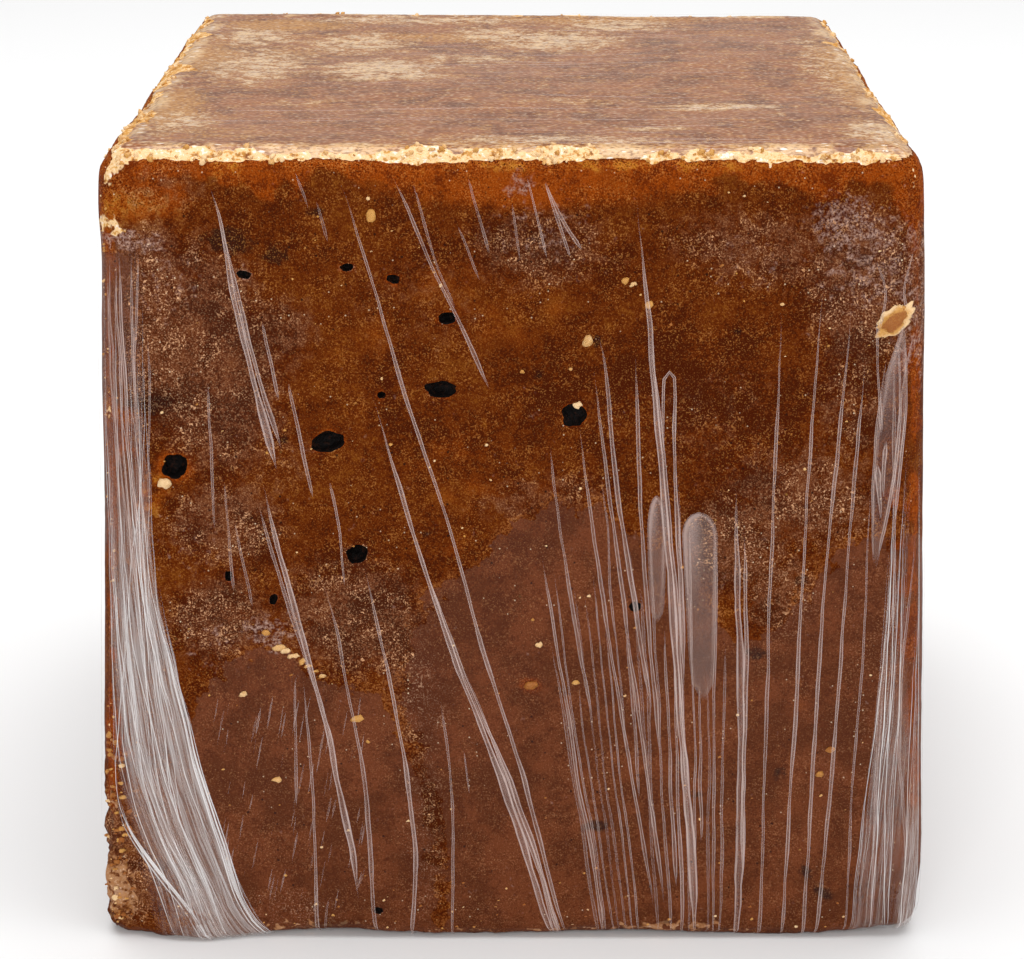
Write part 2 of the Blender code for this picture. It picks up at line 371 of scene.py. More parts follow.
# widths in mm, and how ragged their borders are; sparkle is the width of the band of painted highlights along
# the top edges
edgeLook = {"amber": 1.5, "amberTop": 2.4, "amberRagged": 1.6, "crustTop": 2.3, "crustFront": 0.3,
            "crustRagged": 1.0, "crustFade": 0.3, "crustRight": 0.4, "sparkle": 3.2, "clingRagged": 2.6}


def readPlaces(mesh):
    flat = np.empty(len(mesh.vertices) * 3)
    mesh.vertices.foreach_get("co", flat)
    return flat.reshape(-1, 3) / mm


def readPoints(mesh, name, width=1):
    flat = np.empty(len(mesh.vertices) * width)
    mesh.attributes[name].data.foreach_get("value" if width == 1 else "vector", flat)
    return flat.reshape(-1, width) if width > 1 else flat


def writeField(mesh, name, values):
    field = mesh.attributes.new(name, "FLOAT", "POINT")
    field.data.foreach_set("value", np.ascontiguousarray(values, dtype=np.float32))


def softStep(low, high, values):
    share = np.clip((values - low) / (high - low), 0, 1)
    return share * share * (3 - 2 * share)


def unevenness(places, size, octaves=2, shift=0.0):
    # noise at each point, about -0.5 to 0.5, with lumps of the given size
    return np.array([noise.fractal(Vector(place), 0.8, 2.0, octaves) for place in places / size + shift])


def insideBy(across, up, outline):
    # how far inside a closed outline each point is, in mm, and negative outside it
    nearest = np.full(len(across), 1e9)
    inside = np.zeros(len(across), bool)
    for (ax, ay), (bx, by) in zip(outline, outline[1:] + outline[:1]):
        dx, dy = bx - ax, by - ay
        share = np.clip(((across - ax) * dx + (up - ay) * dy) / (dx * dx + dy * dy), 0, 1)
        nearest = np.minimum(nearest, np.hypot(across - ax - share * dx, up - ay - share * dy))
        if ay != by:
            crossing = ax + (up - ay) * dx / dy
            inside ^= ((ay > up) != (by > up)) & (across < crossing)
    return np.where(inside, nearest, -nearest)


def markField(across, up, marks):
    # the strongest of the soft oval marks at each point
    field = np.zeros(len(across))
    for u, v, wide, tall, slope, strength in marks:
        turn = math.radians(slope)
        a = (across - u) * math.cos(turn) + (up - v) * math.sin(turn)
        b = (up - v) * math.cos(turn) - (across - u) * math.sin(turn)
        field = np.maximum(field, strength * softStep(1.25, 0.25, np.hypot(a / wide, b / tall)))
    return field


def seenFromOutside(places, outward):
    # across and up on each point's own upright face, and how far it faces up; the other faces repeat
    # the front's marks, mirrored on the two sides and shifted on the back
    x, y, z = places.T
    sideways = np.abs(outward[:, 0]) > np.abs(outward[:, 1])
    across = np.where(sideways, -np.sign(outward[:, 0]) * y, np.where(outward[:, 1] < 0, x, 9.0 - x))
    return across, z, softStep(0.55, 0.8, outward[:, 2])


def markFaces(mesh):
    # writes every field that the materials read
    places = readPlaces(mesh)
    outward = readPoints(mesh, "outward", 3)
    edgeGap = readPoints(mesh, "edgeGap")
    across, up, facingUp = seenFromOutside(places, outward)
    facingDown = outward[:, 2] < -0.7
    coarse, medium = unevenness(places, 7.0, 3), unevenness(places, 2.6, 3, 5.0)
    fields = {name: markField(across, up, marks) * (1 - facingUp) for name, marks in faceMarks.items()}
    for name, marks in topMarks.items():
        fields[name] = markField(places[:, 0], places[:, 1], marks) * facingUp

    cling = np.max([insideBy(across, up, outline) for outline in clingOutlines.values()], axis=0)
    cling = np.clip(np.where(facingDown, 4.0, cling) + edgeLook["clingRagged"] * medium * 0.6, -9, 9)
    fields["cling"] = cling * (1 - facingUp)

    # the edges: glassy amber, and a crust on the rounding that faces up
    reach = edgeLook["amber"] + edgeLook["amberTop"] * softStep(blockHeight - 9, blockHeight - 6, up)
    amberEdge = softStep(1.0, -1.0, edgeGap - reach + edgeLook["amberRagged"] * (2 * coarse + medium))
    amberEdge *= softStep(8, 16, up) * (1 - facingUp)
    fields["amber"] = np.maximum(fields["amber"], amberEdge) + 0.2 * medium * (1 - facingUp)
    width = edgeLook["crustFront"] + (edgeLook["crustTop"] - edgeLook["crustFront"]) * facingUp
    high = softStep(blockHeight - 6, blockHeight - 2, up)
    # painted highlights sparkle along the top edges and at the wet corner
    fields["sparkle"] = high * softStep(edgeLook["sparkle"], 0.6, edgeGap - 2.5 * facingUp) * (1 + coarse)
    fields["sparkle"] = np.maximum(fields["sparkle"], markField(across, up, [wetCorner]))
    width *= 1.0 - edgeLook["crustFade"] * softStep(26, 32, np.abs(places[:, 0])) * (1 + 1.5 * coarse)
    width *= 1.0 - edgeLook["crustRight"] * softStep(-4, 12, places[:, 0])
    uneven = edgeLook["crustRagged"] * (2 * coarse + 1.6 * medium)
    edgeCrust = high * softStep(0.7, -0.7, edgeGap - width + uneven)
    fields["crust"] = np.maximum(edgeCrust, fields["crust"])
    fields["mottle"] = coarse + 0.7 * medium - 0.8 * fields.pop("deep")
    # drifts of crystals, made thicker where the painted highlights along the top edges lie
    fields["drift"] = softStep(-0.07, 0.15, unevenness(places, 3.0, 4, 9.0)) + 1.2 * fields["sparkle"]
    fields["facingUp"] = facingUp
    for name, values in fields.items():
        writeField(mesh, name, values)
    return facingUp


# Materials: what more than one of them uses is a node group
def grainGroup():
    # the mottling of a cast, crystalline mass: fine and coarse grain together, and each alone, 0 to 1
    tree, given, out = newGroup("crystalGrain", "ShaderNodeTree", {
        "Place": ("Vector", None), "Grain": ("Float", 0.35), "Clump": ("Float", 1.6),
        "Contrast": ("Float", 1.0)},
        {"Tone": "Float", "Fine": "Float", "Coarse": "Float"})
    fine, clump = [noiseAt(vectorMaths("DIVIDE", given["Place"], join(tree, *[given[label]] * 3)),
                           1.0, detail, 0.6) for label, detail in (("Grain", 1.0), ("Clump", 2.0))]
    mixed = plus(times(fine, 0.55), times(clump, 0.45))
    centred = times(less(mixed, 0.5), given["Contrast"])
    tree.links.new(maths("ADD", centred, 0.5, clamp=True), out["Tone"])
    tree.links.new(fine, out["Fine"])
    tree.links.new(clump, out["Coarse"])
    return tree


def glintGroup():
    # scattered dots, at most one in each cell of a grid: 1 on a dot, 0 between them; they stand for crystals,
    # grains, and painted highlights of wet crystals
    tree, given, out = newGroup("crystalGlints", "ShaderNodeTree", {
        "Place": ("Vector", None), "Spacing": ("Float", 0.5), "Radius": ("Float", 0.3),
        "Share": ("Float", 0.3)},
        {"Mask": "Float", "Pick": "Float"})
    place = scaled(given["Place"], maths("DIVIDE", 1.0, given["Spacing"]))
    cell = vectorMaths("FLOOR", place)
    chance = addNode(tree, "ShaderNodeTexWhiteNoise", {"Vector": cell}, noise_dimensions="3D").outputs
    middle = vectorMaths("MULTIPLY", chance["Color"], (0.5, 0.5, 0.5))
    middle = vectorMaths("ADD", middle, (0.25, 0.25, 0.25))
    away = vectorMaths("DISTANCE", vectorMaths("SUBTRACT", place, cell), middle)
    chosen = maths("LESS_THAN", chance["Value"], given["Share"])
    spot = ramp(maths("DIVIDE", away, given["Radius"]), 1.0, 0.5)
    tree.links.new(times(spot, chosen), out["Mask"])
    tree.links.new(split(chance["Color"])[0], out["Pick"])
    return tree


def fibreGroup():
    # fine streaks that run along one direction: 0 to 1, sharpened
    tree, given, out = newGroup("filmFibres", "ShaderNodeTree", {
        "Place": ("Vector", None), "Width": ("Vector", (0.3, 0.3, 9.0)), "Sharpness": ("Float", 3.0)},
        {"Streak": "Float"})
    base = noiseAt(vectorMaths("DIVIDE", given["Place"], given["Width"]), 1.0, 2.0, 0.65)
    ridge = maths("ABSOLUTE", times(less(base, 0.5), 2.0))
    sharp = maths("POWER", maths("SUBTRACT", 1.0, ridge, clamp=True), given["Sharpness"])
    tree.links.new(sharp, out["Streak"])
    return tree


groups = {"grain": grainGroup(), "glint": glintGroup(), "fibre": fibreGroup()}


def grouped(tree, name, inputs):
    made = tree.nodes.new("ShaderNodeGroup")
    made.node_tree = groups[name]
    for key, value in inputs.items():
        feed(made.inputs[key], value)
    return made.outputs


def newMaterial(name, **fixed):
    # a Principled material, with the values that are the same all over set on its own sockets
    material = bpy.data.materials.new(name)
    material.use_nodes = True
    tree = material.node_tree
    shader = tree.nodes["Principled BSDF"]
    for label, value in fixed.items():
        shader.inputs[label.replace("_", " ")].default_value = value
    place = addNode(tree, "ShaderNodeTexCoord").outputs["Object"]
    return material, tree, shader, scaled(place, 1 / mm)


def fieldOf(tree, name):
    return addNode(tree, "ShaderNodeAttribute", attribute_name=name).outputs["Fac"]


def ragged(field, wobble, strength, middle=0.5):
    # a field whose border a noise makes uneven
    return plus(field, times(less(wobble, middle), strength))


def laidOver(colour, over, mask, most=None):
    # a second colour over the first, where the mask says and at most to the share given
    return blendColour(mask if most is None else times(mask, most), colour, over)


def glints(tree, place, spacing, radius, share):
    return grouped(tree, "glint", {"Place": place, "Spacing": spacing, "Radius": radius, "Share": share})


def bumped(tree, shader, height, depth):
    bump = addNode(tree, "ShaderNodeBump", {"Height": height, "Distance": depth * mm})
    feed(shader.inputs["Normal"], bump.outputs[0])


def rgb(red, green, blue):
    return (red, green, blue, 1.0)


# Among these, glow is a painted glow of light through the amber edges; white, spark and the light lump colour
# are painted highlights; glint is the tone of pale crystals and of painted highlights; hole and holeLight are
# painted shade inside the air holes.
sugarLook = {
    "dark": rgb(0.055, 0.0072, 0.0005), "brown": rgb(0.105, 0.0175, 0.0009),
    "light": rgb(0.160, 0.040, 0.0035),
    "airyDark": rgb(0.050, 0.0150, 0.0062), "airy": rgb(0.150, 0.050, 0.0210),
    "amberDeep": rgb(0.140, 0.019, 0.0006), "amber": rgb(0.285, 0.049, 0.0018),
    "glow": rgb(0.44, 0.165, 0.016),
    "milk": rgb(0.082, 0.0180, 0.0038), "milkLight": rgb(0.134, 0.0325, 0.0090),
    "seam": rgb(0.25, 0.080, 0.020),
    "stain": rgb(0.018, 0.005, 0.003), "haze": rgb(0.40, 0.26, 0.215), "fleck": rgb(0.56, 0.235, 0.055),
    "glint": rgb(0.72, 0.44, 0.28), "gold": rgb(0.60, 0.29, 0.065), "white": rgb(0.95, 0.74, 0.50),
    "cream": rgb(0.84, 0.57, 0.30), "spark": rgb(0.92, 0.80, 0.68),
    "lump": rgb(0.36, 0.160, 0.070), "lumpHighlight": rgb(0.70, 0.46, 0.31),
    "tan": rgb(0.150, 0.041, 0.0092), "tanLight": rgb(0.345, 0.125, 0.044),
    "bloom": rgb(0.66, 0.48, 0.33), "honey": rgb(0.50, 0.225, 0.042),
    "hole": rgb(0.0035, 0.0022, 0.002), "holeLight": rgb(0.03, 0.009, 0.004),
    "crumb": rgb(0.30, 0.085, 0.008),
    "bumpDepth": 0.09, "holeBump": 0.15, "crumbBump": 0.08,
}


def crustTones(grain, place):
    # dry crumbling crust: golden in its hollows, cream, and a painted near-white highlight on its grains
    tone = blendColour(ramp(grain["Coarse"], 0.28, 0.44), sugarLook["seam"], sugarLook["gold"])
    level = plus(grain["Coarse"], times(grain["Fine"], 0.6))
    level = less(level, ramp(split(place)[1], -41.0, -36.0, 0.0, 0.13))
    tone = blendColour(ramp(level, 0.62, 0.80), tone, sugarLook["cream"])
    return blendColour(ramp(level, 0.88, 1.0), tone, sugarLook["spark"])


def lumpTones(grain, mottle):
    # soft wet lumps: brown where the grain is low, golden, and painted highlights of wet lumps where it is high
    level = plus(times(mottle, 0.7), times(less(grain["Coarse"], 0.5), 1.6))
    tone = blendColour(ramp(level, -0.35, 0.0), sugarLook["milk"], sugarLook["seam"])
    tone = blendColour(ramp(level, -0.1, 0.3), tone, sugarLook["lump"])
    light = times(ramp(grain["Fine"], 0.56, 0.76), ramp(level, -0.2, 0.3))
    return blendColour(times(light, 0.7), tone, sugarLook["lumpHighlight"])


def sideMaterial(name, crusted):
    # the upright faces and the underside, with the crumbling crust only where there is any
    look = sugarLook
    material, tree, shader, place = newMaterial(name, Specular_IOR_Level=0.02, Coat_Roughness=0.14)
    mottle, drift = fieldOf(tree, "mottle"), fieldOf(tree, "drift")
    edge = noiseAt(place, 0.8, 1.0, 0.6)

    # the granular mass, mottled from dark to light
    grain = grouped(tree, "grain", {"Place": place, "Grain": 0.27, "Clump": 1.25, "Contrast": 2.6})
    tone = plus(grain["Tone"], times(mottle, 0.35))
    colour = blendColour(ramp(tone, 0.12, 0.5), look["dark"], look["brown"])
    colour = laidOver(colour, look["light"], ramp(tone, 0.56, 1.0))

    # clear amber along the edges and wherever the mass set glassy, with a painted glow of light through the very
    # edge
    amberMask = ramp(fieldOf(tree, "amber"), 0.25, 1.0)
    glassy = ramp(plus(tone, times(amberMask, 0.1)), 0.15, 0.75)
    amberTone = blendColour(glassy, look["amberDeep"], look["amber"])
    colour = laidOver(colour, amberTone, amberMask, 0.85)
    lit = ragged(fieldOf(tree, "golden"), grain["Coarse"], 2.0)
    glow = blendColour(ramp(tone, 0.3, 0.9), look["amber"], look["glow"])
    colour = laidOver(colour, glow, ramp(lit, 0.3, 1.2), 0.8)

    # greyer where air lies under the film
    airMask = ramp(ragged(fieldOf(tree, "airy"), grain["Coarse"], 1.4), 0.3, 0.9)
    airTone = blendColour(ramp(tone, 0.15, 0.8), look["airyDark"], look["airy"])
    colour = laidOver(colour, airTone, airMask, 0.7)

    # where film and mass lie close, smooth and milky, with a ragged edge set in amber crystals
    inside = ragged(fieldOf(tree, "cling"), edge, 1.9)
    clinging = ramp(inside, -0.1, 0.12)
    milky = ramp(ragged(mottle, grain["Tone"], 1.2), -0.7, 0.8)
    milk = blendColour(milky, look["milk"], look["milkLight"])
    milk = laidOver(milk, look["dark"], ramp(grain["Tone"], 0.5, 0.15), 0.4)
    seam = ramp(maths("ABSOLUTE", plus(inside, 0.45)), 0.75, 0.1)
    granules = times(ramp(grain["Fine"], 0.42, 0.6), ramp(mottle, -0.4, 0.2))
    colour = laidOver(colour, look["seam"], times(seam, granules), 0.7)
    amberFree = less(1.0, times(amberMask, 0.6))
    colour = laidOver(colour, milk, clinging, amberFree)

    # dark stains, and the bluish haze of trapped air in fine threads
    blot = ragged(fieldOf(tree, "stain"), edge, 1.1)
    colour = laidOver(colour, look["stain"], ramp(blot, 0.3, 0.85), 0.85)
    hazy = ragged(fieldOf(tree, "haze"), edge, 2.4, 0.55)
    threads = times(ramp(hazy, 0.35, 1.1), ramp(grain["Fine"], 0.3, 0.75))
    colour = laidOver(colour, look["haze"], threads, 0.88)

    # light crystals in drifts, partly pale crystals and partly painted highlights of wet crystals: short curved
    # threads of painted light, dots of two sizes, the near-white ones painted highlights, and a few golden
    # grains
    calm = less(1.0, times(clinging, 0.6))
    crowd = times(plus(drift, 0.25), plus(times(airMask, 0.45), 0.16))
    small = glints(tree, place, 0.36, 0.27, times(plus(crowd, 0.05), calm))
    ridge = ramp(maths("ABSOLUTE", less(grain["Coarse"], 0.53)), 0.035, 0.006)
    driven = times(plus(drift, 0.2), plus(0.28, times(airMask, 0.7)))
    highlightStrokes = times(times(ridge, ramp(grain["Fine"], 0.5, 0.6)), times(driven, calm))
    shine = times(drift, plus(0.18, times(airMask, 0.5)))
    bright = glints(tree, place, 0.85, 0.13, plus(0.06, shine))
    large = glints(tree, place, 1.5, 0.12, plus(times(drift, 0.3), 0.26))
    greyed = plus(times(airMask, 0.6), times(clinging, 0.3))
    tint = blendColour(greyed, look["fleck"], look["glint"])
    pepper = noiseAt(place, 0.15, 0.0)
    gritty = plus(0.35, plus(times(drift, 0.3), times(airMask, 0.15)))
    rough = times(less(1.0, times(clinging, 0.5)), gritty)
    colour = laidOver(colour, look["dark"], ramp(pepper, 0.46, 0.3), rough)
    colour = laidOver(colour, tint, ramp(pepper, 0.56, 0.8), times(rough, 0.5))
    colour = laidOver(colour, tint, maths("MAXIMUM", small["Mask"], highlightStrokes),
                      ramp(small["Pick"], 0.0, 1.0, 0.25, 1.0))
    golden = blendColour(ramp(large["Pick"], 0.5, 0.54), look["stain"], look["gold"])
    colour = laidOver(colour, golden, large["Mask"], 0.85)
    colour = laidOver(colour, look["white"], bright["Mask"],
                      ramp(bright["Pick"], 0.0, 1.0, 0.4, 1.0))

    if crusted:
        crustMask = ramp(ragged(fieldOf(tree, "crust"), edge, 1.2), 0.45, 0.6)
        lowDown = ramp(split(place)[2], 34.0, 26.0, 0.0, 0.9)
        crust = blendColour(lowDown, crustTones(grain, place), lumpTones(grain, mottle))
        colour = laidOver(colour, crust, crustMask)
    feed(shader.inputs["Base Color"], colour)

    # wet under the clinging film, dull elsewhere
    feed(shader.inputs["Coat Weight"], plus(times(clinging, 0.16), times(threads, 0.2)))
    feed(shader.inputs["Roughness"], plus(0.45, times(grain["Tone"], 0.2)))
    flatter = ramp(fieldOf(tree, "cling"), -0.5, 0.5, 1.0, 0.15)
    bumped(tree, shader, times(grain["Fine"], flatter), look["bumpDepth"])
    return material


def topMaterial():
    # smooth and tan under the film, streaked, with pale bloom and a crust along its edges
    look = sugarLook
    material, tree, shader, place = newMaterial("jaggeryTop", Specular_IOR_Level=0.02, Coat_Roughness=0.14)
    grain = grouped(tree, "grain", {"Place": place, "Grain": 0.33, "Clump": 1.5, "Contrast": 2.2})
    streak = grouped(tree, "fibre", {"Place": place, "Width": (11.0, 0.5, 3.0), "Sharpness": 3.5})["Streak"]

    def stretched(*shares):
        return vectorMaths("MULTIPLY", place, shares)

    edge = noiseAt(stretched(0.8, 1.0, 1.0), 1.7, 4.0, 0.7)
    tone = plus(plus(times(streak, 0.5), times(grain["Tone"], 0.3)),
                times(fieldOf(tree, "mottle"), 0.35))
    colour = blendColour(ramp(tone, 0.05, 0.7), look["tan"], look["tanLight"])

    # honey patches, sparkle behind the edges, and bloom with a honey border
    golden = ragged(fieldOf(tree, "honey"), grain["Tone"], 1.1)
    colour = laidOver(colour, look["honey"], ramp(golden, 0.35, 1.0), 0.8)
    behind = ragged(fieldOf(tree, "sparkle"), edge, 3.2)
    colour = laidOver(colour, look["cream"], ramp(behind, 0.5, 1.5), 0.7)
    powder = plus(edge, times(grain["Fine"], 0.35))
    dusty = ragged(fieldOf(tree, "bloom"), powder, 3.6, 0.68)
    colour = laidOver(colour, look["honey"], ramp(dusty, 0.05, 0.5), 0.55)
    pale = blendColour(ramp(grain["Tone"], 0.3, 0.7), look["cream"], look["bloom"])
    colour = laidOver(colour, pale, ramp(dusty, 0.45, 1.0), 0.85)

    # fine grit, light specks drawn out across the top, partly pale bloom grains and partly painted highlights,
    # and the crust
    crowd = plus(ramp(dusty, 0.0, 1.0, 0.28, 0.65), times(fieldOf(tree, "sparkle"), 0.5))
    specks = glints(tree, stretched(0.4, 1.0, 1.0), 0.6, 0.34, crowd)
    pepper = noiseAt(stretched(0.4, 0.8, 1.0), 0.2, 0.0)
    colour = laidOver(colour, look["tan"], ramp(pepper, 0.48, 0.3), 0.55)
    colour = laidOver(colour, look["bloom"], ramp(pepper, 0.54, 0.8), 0.5)
    gritty = glints(tree, place, 1.1, 0.25, 0.2)
    colour = laidOver(colour, look["brown"], gritty["Mask"], 0.7)
    colour = laidOver(colour, look["spark"], specks["Mask"], ramp(specks["Pick"], 0.2, 0.9))
    crustMask = ramp(ragged(fieldOf(tree, "crust"), edge, 1.4), 0.4, 0.65)
    colour = laidOver(colour, crustTones(grain, place), crustMask)
    feed(shader.inputs["Base Color"], colour)
    gloss = times(less(0.8, times(streak, 0.25)),
                  less(1.0, times(crustMask, 0.8)))
    feed(shader.inputs["Coat Weight"], gloss)
    shader.inputs["Roughness"].default_value = 0.5
    rough = plus(fieldOf(tree, "bloom"), fieldOf(tree, "crust"))
    relief = plus(times(streak, 0.5), times(grain["Fine"], rough))
    bumped(tree, shader, relief, look["bumpDepth"])
    return material


def holeShadeMaterial():
    # the inside of an air hole: painted shade, nearly black, with a little brown
    material, tree, shader, place = newMaterial("airHoleShade", Roughness=0.7, Specular_IOR_Level=0.1)
    grain = grouped(tree, "grain", {"Place": place, "Grain": 0.4, "Clump": 1.0, "Contrast": 2.0})
    tone = ramp(grain["Tone"], 0.45, 1.0)
    feed(shader.inputs["Base Color"], blendColour(tone, sugarLook["hole"], sugarLook["holeLight"]))
    bumped(tree, shader, grain["Fine"], sugarLook["holeBump"])
    return material


# The air holes: across, up, width, height, slope; every one is cut out of the food, and its inside is painted
# dark as shade
holes = {
    "front": [(-19.7, 59.1, 3.7, 2.2, 15), (-7.6, 64.8, 3.6, 2.0, 2), (-16.8, 46.5, 2.6, 2.1, 28),
              (-36.1, 56.4, 2.6, 2.8, -40), (6.5, 62.0, 2.7, 2.6, 0), (-6.9, 72.5, 2.0, 1.4, 10),
              (-12.5, 76.7, 1.5, 1.1, 0), (-28.1, 77.1, 1.7, 1.0, -5), (-17.3, 77.9, 1.7, 0.9, 4),
              (-13.9, 64.2, 1.0, 0.8, 0), (-30.8, 43.9, 0.9, 1.3, 0), (-26.0, 41.2, 0.9, 1.4, -10),
              (13.3, 40.4, 1.5, 1.3, 20), (-15.2, 3.6, 1.2, 1.0, 0)],
    "depth": 1.7, "roughness": 0.24, "others": 12,
}


def faceSpot(face, across, up):
    # a point on a face: 0 front, 1 right, 2 back, 3 left, and 4 the top and 5 the underside, as (x, y)
    if face > 3:
        return Vector((across, up, blockHeight if face == 4 else 0))
    half = footHalf + (topHalf - footHalf) * up / blockHeight
    return Matrix.Rotation(face * math.pi / 2, 3, "Z") @ Vector((across, -half, up))


def holeCutters(material):
    # one mesh of rough egg shapes, each half sunk in a face
    chance = random.Random(4)
    spots = [(0, *hole) for hole in holes["front"]]
    for count in range(holes["others"]):
        wide = chance.uniform(0.9, 3.4)
        spots.append((1 + count % 3, chance.uniform(-34, 34), chance.uniform(20, 82), wide,
                      wide * chance.uniform(0.55, 0.8), chance.uniform(-30, 30)))
    joined = bmesh.new()
    for face, across, up, wide, tall, slope in spots:
        size = Matrix.Diagonal((wide / 2, holes["depth"] * min(1.0, 0.35 + wide / 4), tall / 2, 1))
        turn = Matrix.Rotation(face * math.pi / 2, 4, "Z") @ Matrix.Rotation(-math.radians(slope), 4, "Y")
        egg = bmesh.ops.create_icosphere(joined, subdivisions=3, radius=1.0)["verts"]
        middle = faceSpot(face, across, up)
        for vert in egg:
            swell = 1 + holes["roughness"] * noise.noise(vert.co * 1.7 + middle)
            vert.co = (middle + turn @ size @ (vert.co * swell)) * mm
    mesh = bpy.data.meshes.new("holeCutters")
    joined.to_mesh(mesh)
    joined.free()
    mesh.materials.append(material)
    return newObject("holeCutters", mesh)


def bake(piece):
    # applies a piece's modifiers, so that it is a plain mesh
    depsgraph = bpy.context.evaluated_depsgraph_get()
    mesh = bpy.data.meshes.new_from_object(piece.evaluated_get(depsgraph), preserve_all_data_layers=True,
                                           depsgraph=depsgraph)
    piece.modifiers.clear()
    piece.data = mesh
    piece.vertex_groups.clear()


def skinValues(settings, material):
    values = {"Solid": solid, "Spans": settings["spans"], "Inset": settings["inset"] * mm,
              "Smoothing": settings["smoothing"], "Round": skin["round"] * mm, "Material": material}
    for label in ("Lumps", "Pebbles", "Crumbs"):
        values[label] = settings.get(label.lower(), 0.0) * mm
    return values


def thinOut(piece, faces):
    # fewer faces, kept longest on the front and the top
    places = readPlaces(piece.data)
    plain = [int(i) for i in np.flatnonzero((places[:, 1] > 6 - footHalf) & (places[:, 2] < blockHeight - 5))]
    piece.vertex_groups.new(name="plain").add(plain, 1.0, "REPLACE")
    total = sum(len(polygon.vertices) - 2 for polygon in piece.data.polygons)
    fewer = piece.modifiers.new("fewer", "DECIMATE")
    fewer.ratio = faces / total
    fewer.vertex_group = "plain"
    bake(piece)


def makeSugar(tree):
    piece = grow("jaggery", tree, skinValues(skin, sideMaterial("jaggerySide", False)))
    thinOut(piece, skin["keep"])
    cutter = holeCutters(holeShadeMaterial())
    cut = piece.modifiers.new("holes", "BOOLEAN")
    cut.operation, cut.solver, cut.object = "DIFFERENCE", "MANIFOLD", cutter
    cut.material_mode = "TRANSFER"
    bake(piece)
    bpy.data.objects.remove(cutter)
    facingUp = markFaces(piece.data)
    crust = readPoints(piece.data, "crust")
    piece.data.materials.append(topMaterial())
    piece.data.materials.append(sideMaterial("jaggeryCrust", True))
    names = [material.name for material in piece.data.materials]
    for polygon in piece.data.polygons:
        if names[polygon.material_index] != "jaggerySide":
            continue
        if min(facingUp[i] for i in polygon.vertices) > 0.5:
            polygon.material_index = names.index("jaggeryTop")
        elif max(crust[i] for i in polygon.vertices) > 0.02:
            polygon.material_index = names.index("jaggeryCrust")
    return piece


# Loose crumbs under the film on the front: across, up, width, height, how pale (0 amber, 1 cream)
crumbs = {
    "placed": [(7.8, 70.1, 1.2, 1.7, 0.7), (11.7, 76.6, 0.9, 0.9, 0.5), (12.5, 76.2, 0.8, 0.8, 0.8),
               (14.2, 74.0, 0.9, 1.0, 0.5), (-17.2, 27.2, 1.6, 1.1, 0.5), (-26.3, 19.8, 1.2, 0.7, 0.7),
               (-29.7, 30.0, 0.9, 0.8, 0.8), (-37.4, 54.5, 1.7, 1.5, 0.9), (6.5, 62.3, 1.1, 1.0, 1.0),
               (1.9, 31.2, 1.6, 1.4, 0.1), (6.9, 31.5, 0.9, 0.7, 0.6), (35.1, 23.6, 1.2, 0.9, 0.2),
               (34.1, 20.6, 1.0, 0.8, 0.3), (-27.0, 37.3, 1.0, 0.8, 0.4), (-24.9, 35.2, 1.3, 0.7, 0.9),
               (-23.1, 34.0, 0.9, 0.8, 0.6), (-21.6, 32.8, 0.8, 0.5, 0.5), (-14.8, 83.4, 1.1, 1.8, 0.5),
               (2.8, 36.0, 0.9, 0.8, 0.8), (-25.6, 35.6, 1.6, 0.9, 0.7), (-24.0, 34.6, 1.4, 0.8, 0.8),
               (-22.4, 33.4, 1.1, 0.7, 0.6), (-20.9, 32.3, 0.9, 0.6, 0.7), (40.6, 73.6, 1.3, 1.1, 0.4)],
    # the loose ones: how many, the shares along the left edge and the foot, and where those lie
    "loose": 280, "atEdge": 0.35, "atFoot": 0.3, "looseSize": (0.14, 0.4), "edgePlace": (-45.2, 1.0),
    "footPlace": (1.2, 2.2), "corner": 70, "cornerSize": (0.25, 0.9), "cornerPlace": (-45.0, 1.5),
    "cornerHeights": (1.5, 25), "rimDensity": 1.1, "rimSize": (0.2, 0.8), "ragged": 0.7,
}
# A large golden flake near the right edge: across, up, half width, half height, thickness, tilt in degrees
# how ragged it is, and how much it curls
flake = {"across": 39.8, "up": 72.4, "wide": 2.3, "tall": 1.25, "thick": 0.5, "tilt": 38, "ragged": 0.4,
         "curl": (0.12, 0.3)}


def crumbMaterial():
    # amber to cream, crystalline
    material, tree, shader, place = newMaterial("crumb", Roughness=0.45, Specular_IOR_Level=0.3)
    grain = grouped(tree, "grain", {"Place": place, "Grain": 0.12, "Clump": 0.5, "Contrast": 1.6})
    pale = ragged(fieldOf(tree, "pale"), grain["Tone"], 0.5)
    tone = blendColour(ramp(pale, 0.0, 0.55), sugarLook["crumb"], sugarLook["gold"])
    tone = laidOver(tone, sugarLook["cream"], ramp(pale, 0.5, 1.0))
    feed(shader.inputs["Base Color"], tone)
    bumped(tree, shader, grain["Fine"], sugarLook["crumbBump"])
    return material


def crumbGuides(chance):
    # one point for each crumb, with its size and how pale it is
    spots = list(crumbs["placed"])
    for _ in range(crumbs["corner"]):
        size = chance.uniform(*crumbs["cornerSize"])
        spots.append((chance.gauss(*crumbs["cornerPlace"]), chance.uniform(*crumbs["cornerHeights"]), size,
                      size * chance.uniform(0.6, 1), 0.9 * chance.random() ** 3))
    for _ in range(crumbs["loose"]):
        size = chance.uniform(*crumbs["looseSize"])
        if chance.random() < crumbs["atEdge"]:
            across = chance.gauss(*crumbs["edgePlace"])
        else:
            across = chance.uniform(-40, 40)
        if chance.random() < crumbs["atFoot"]:
            up = crumbs["footPlace"][0] + abs(chance.gauss(0, crumbs["footPlace"][1]))
        else:
            up = chance.uniform(3, 86)
        spots.append((across, up, size, size * chance.uniform(0.6, 1), chance.random()))
    mesh = bpy.data.meshes.new("crumbGuides")
    mesh.from_pydata([faceSpot(0, across, up) * mm for across, up, wide, tall, pale in spots], [], [])
    for column, name in ((2, "wide"), (3, "tall")):
        writeField(mesh, name, [spot[column] / 2 * mm for spot in spots])
    writeField(mesh, "pale", [spot[4] for spot in spots])
    return mesh


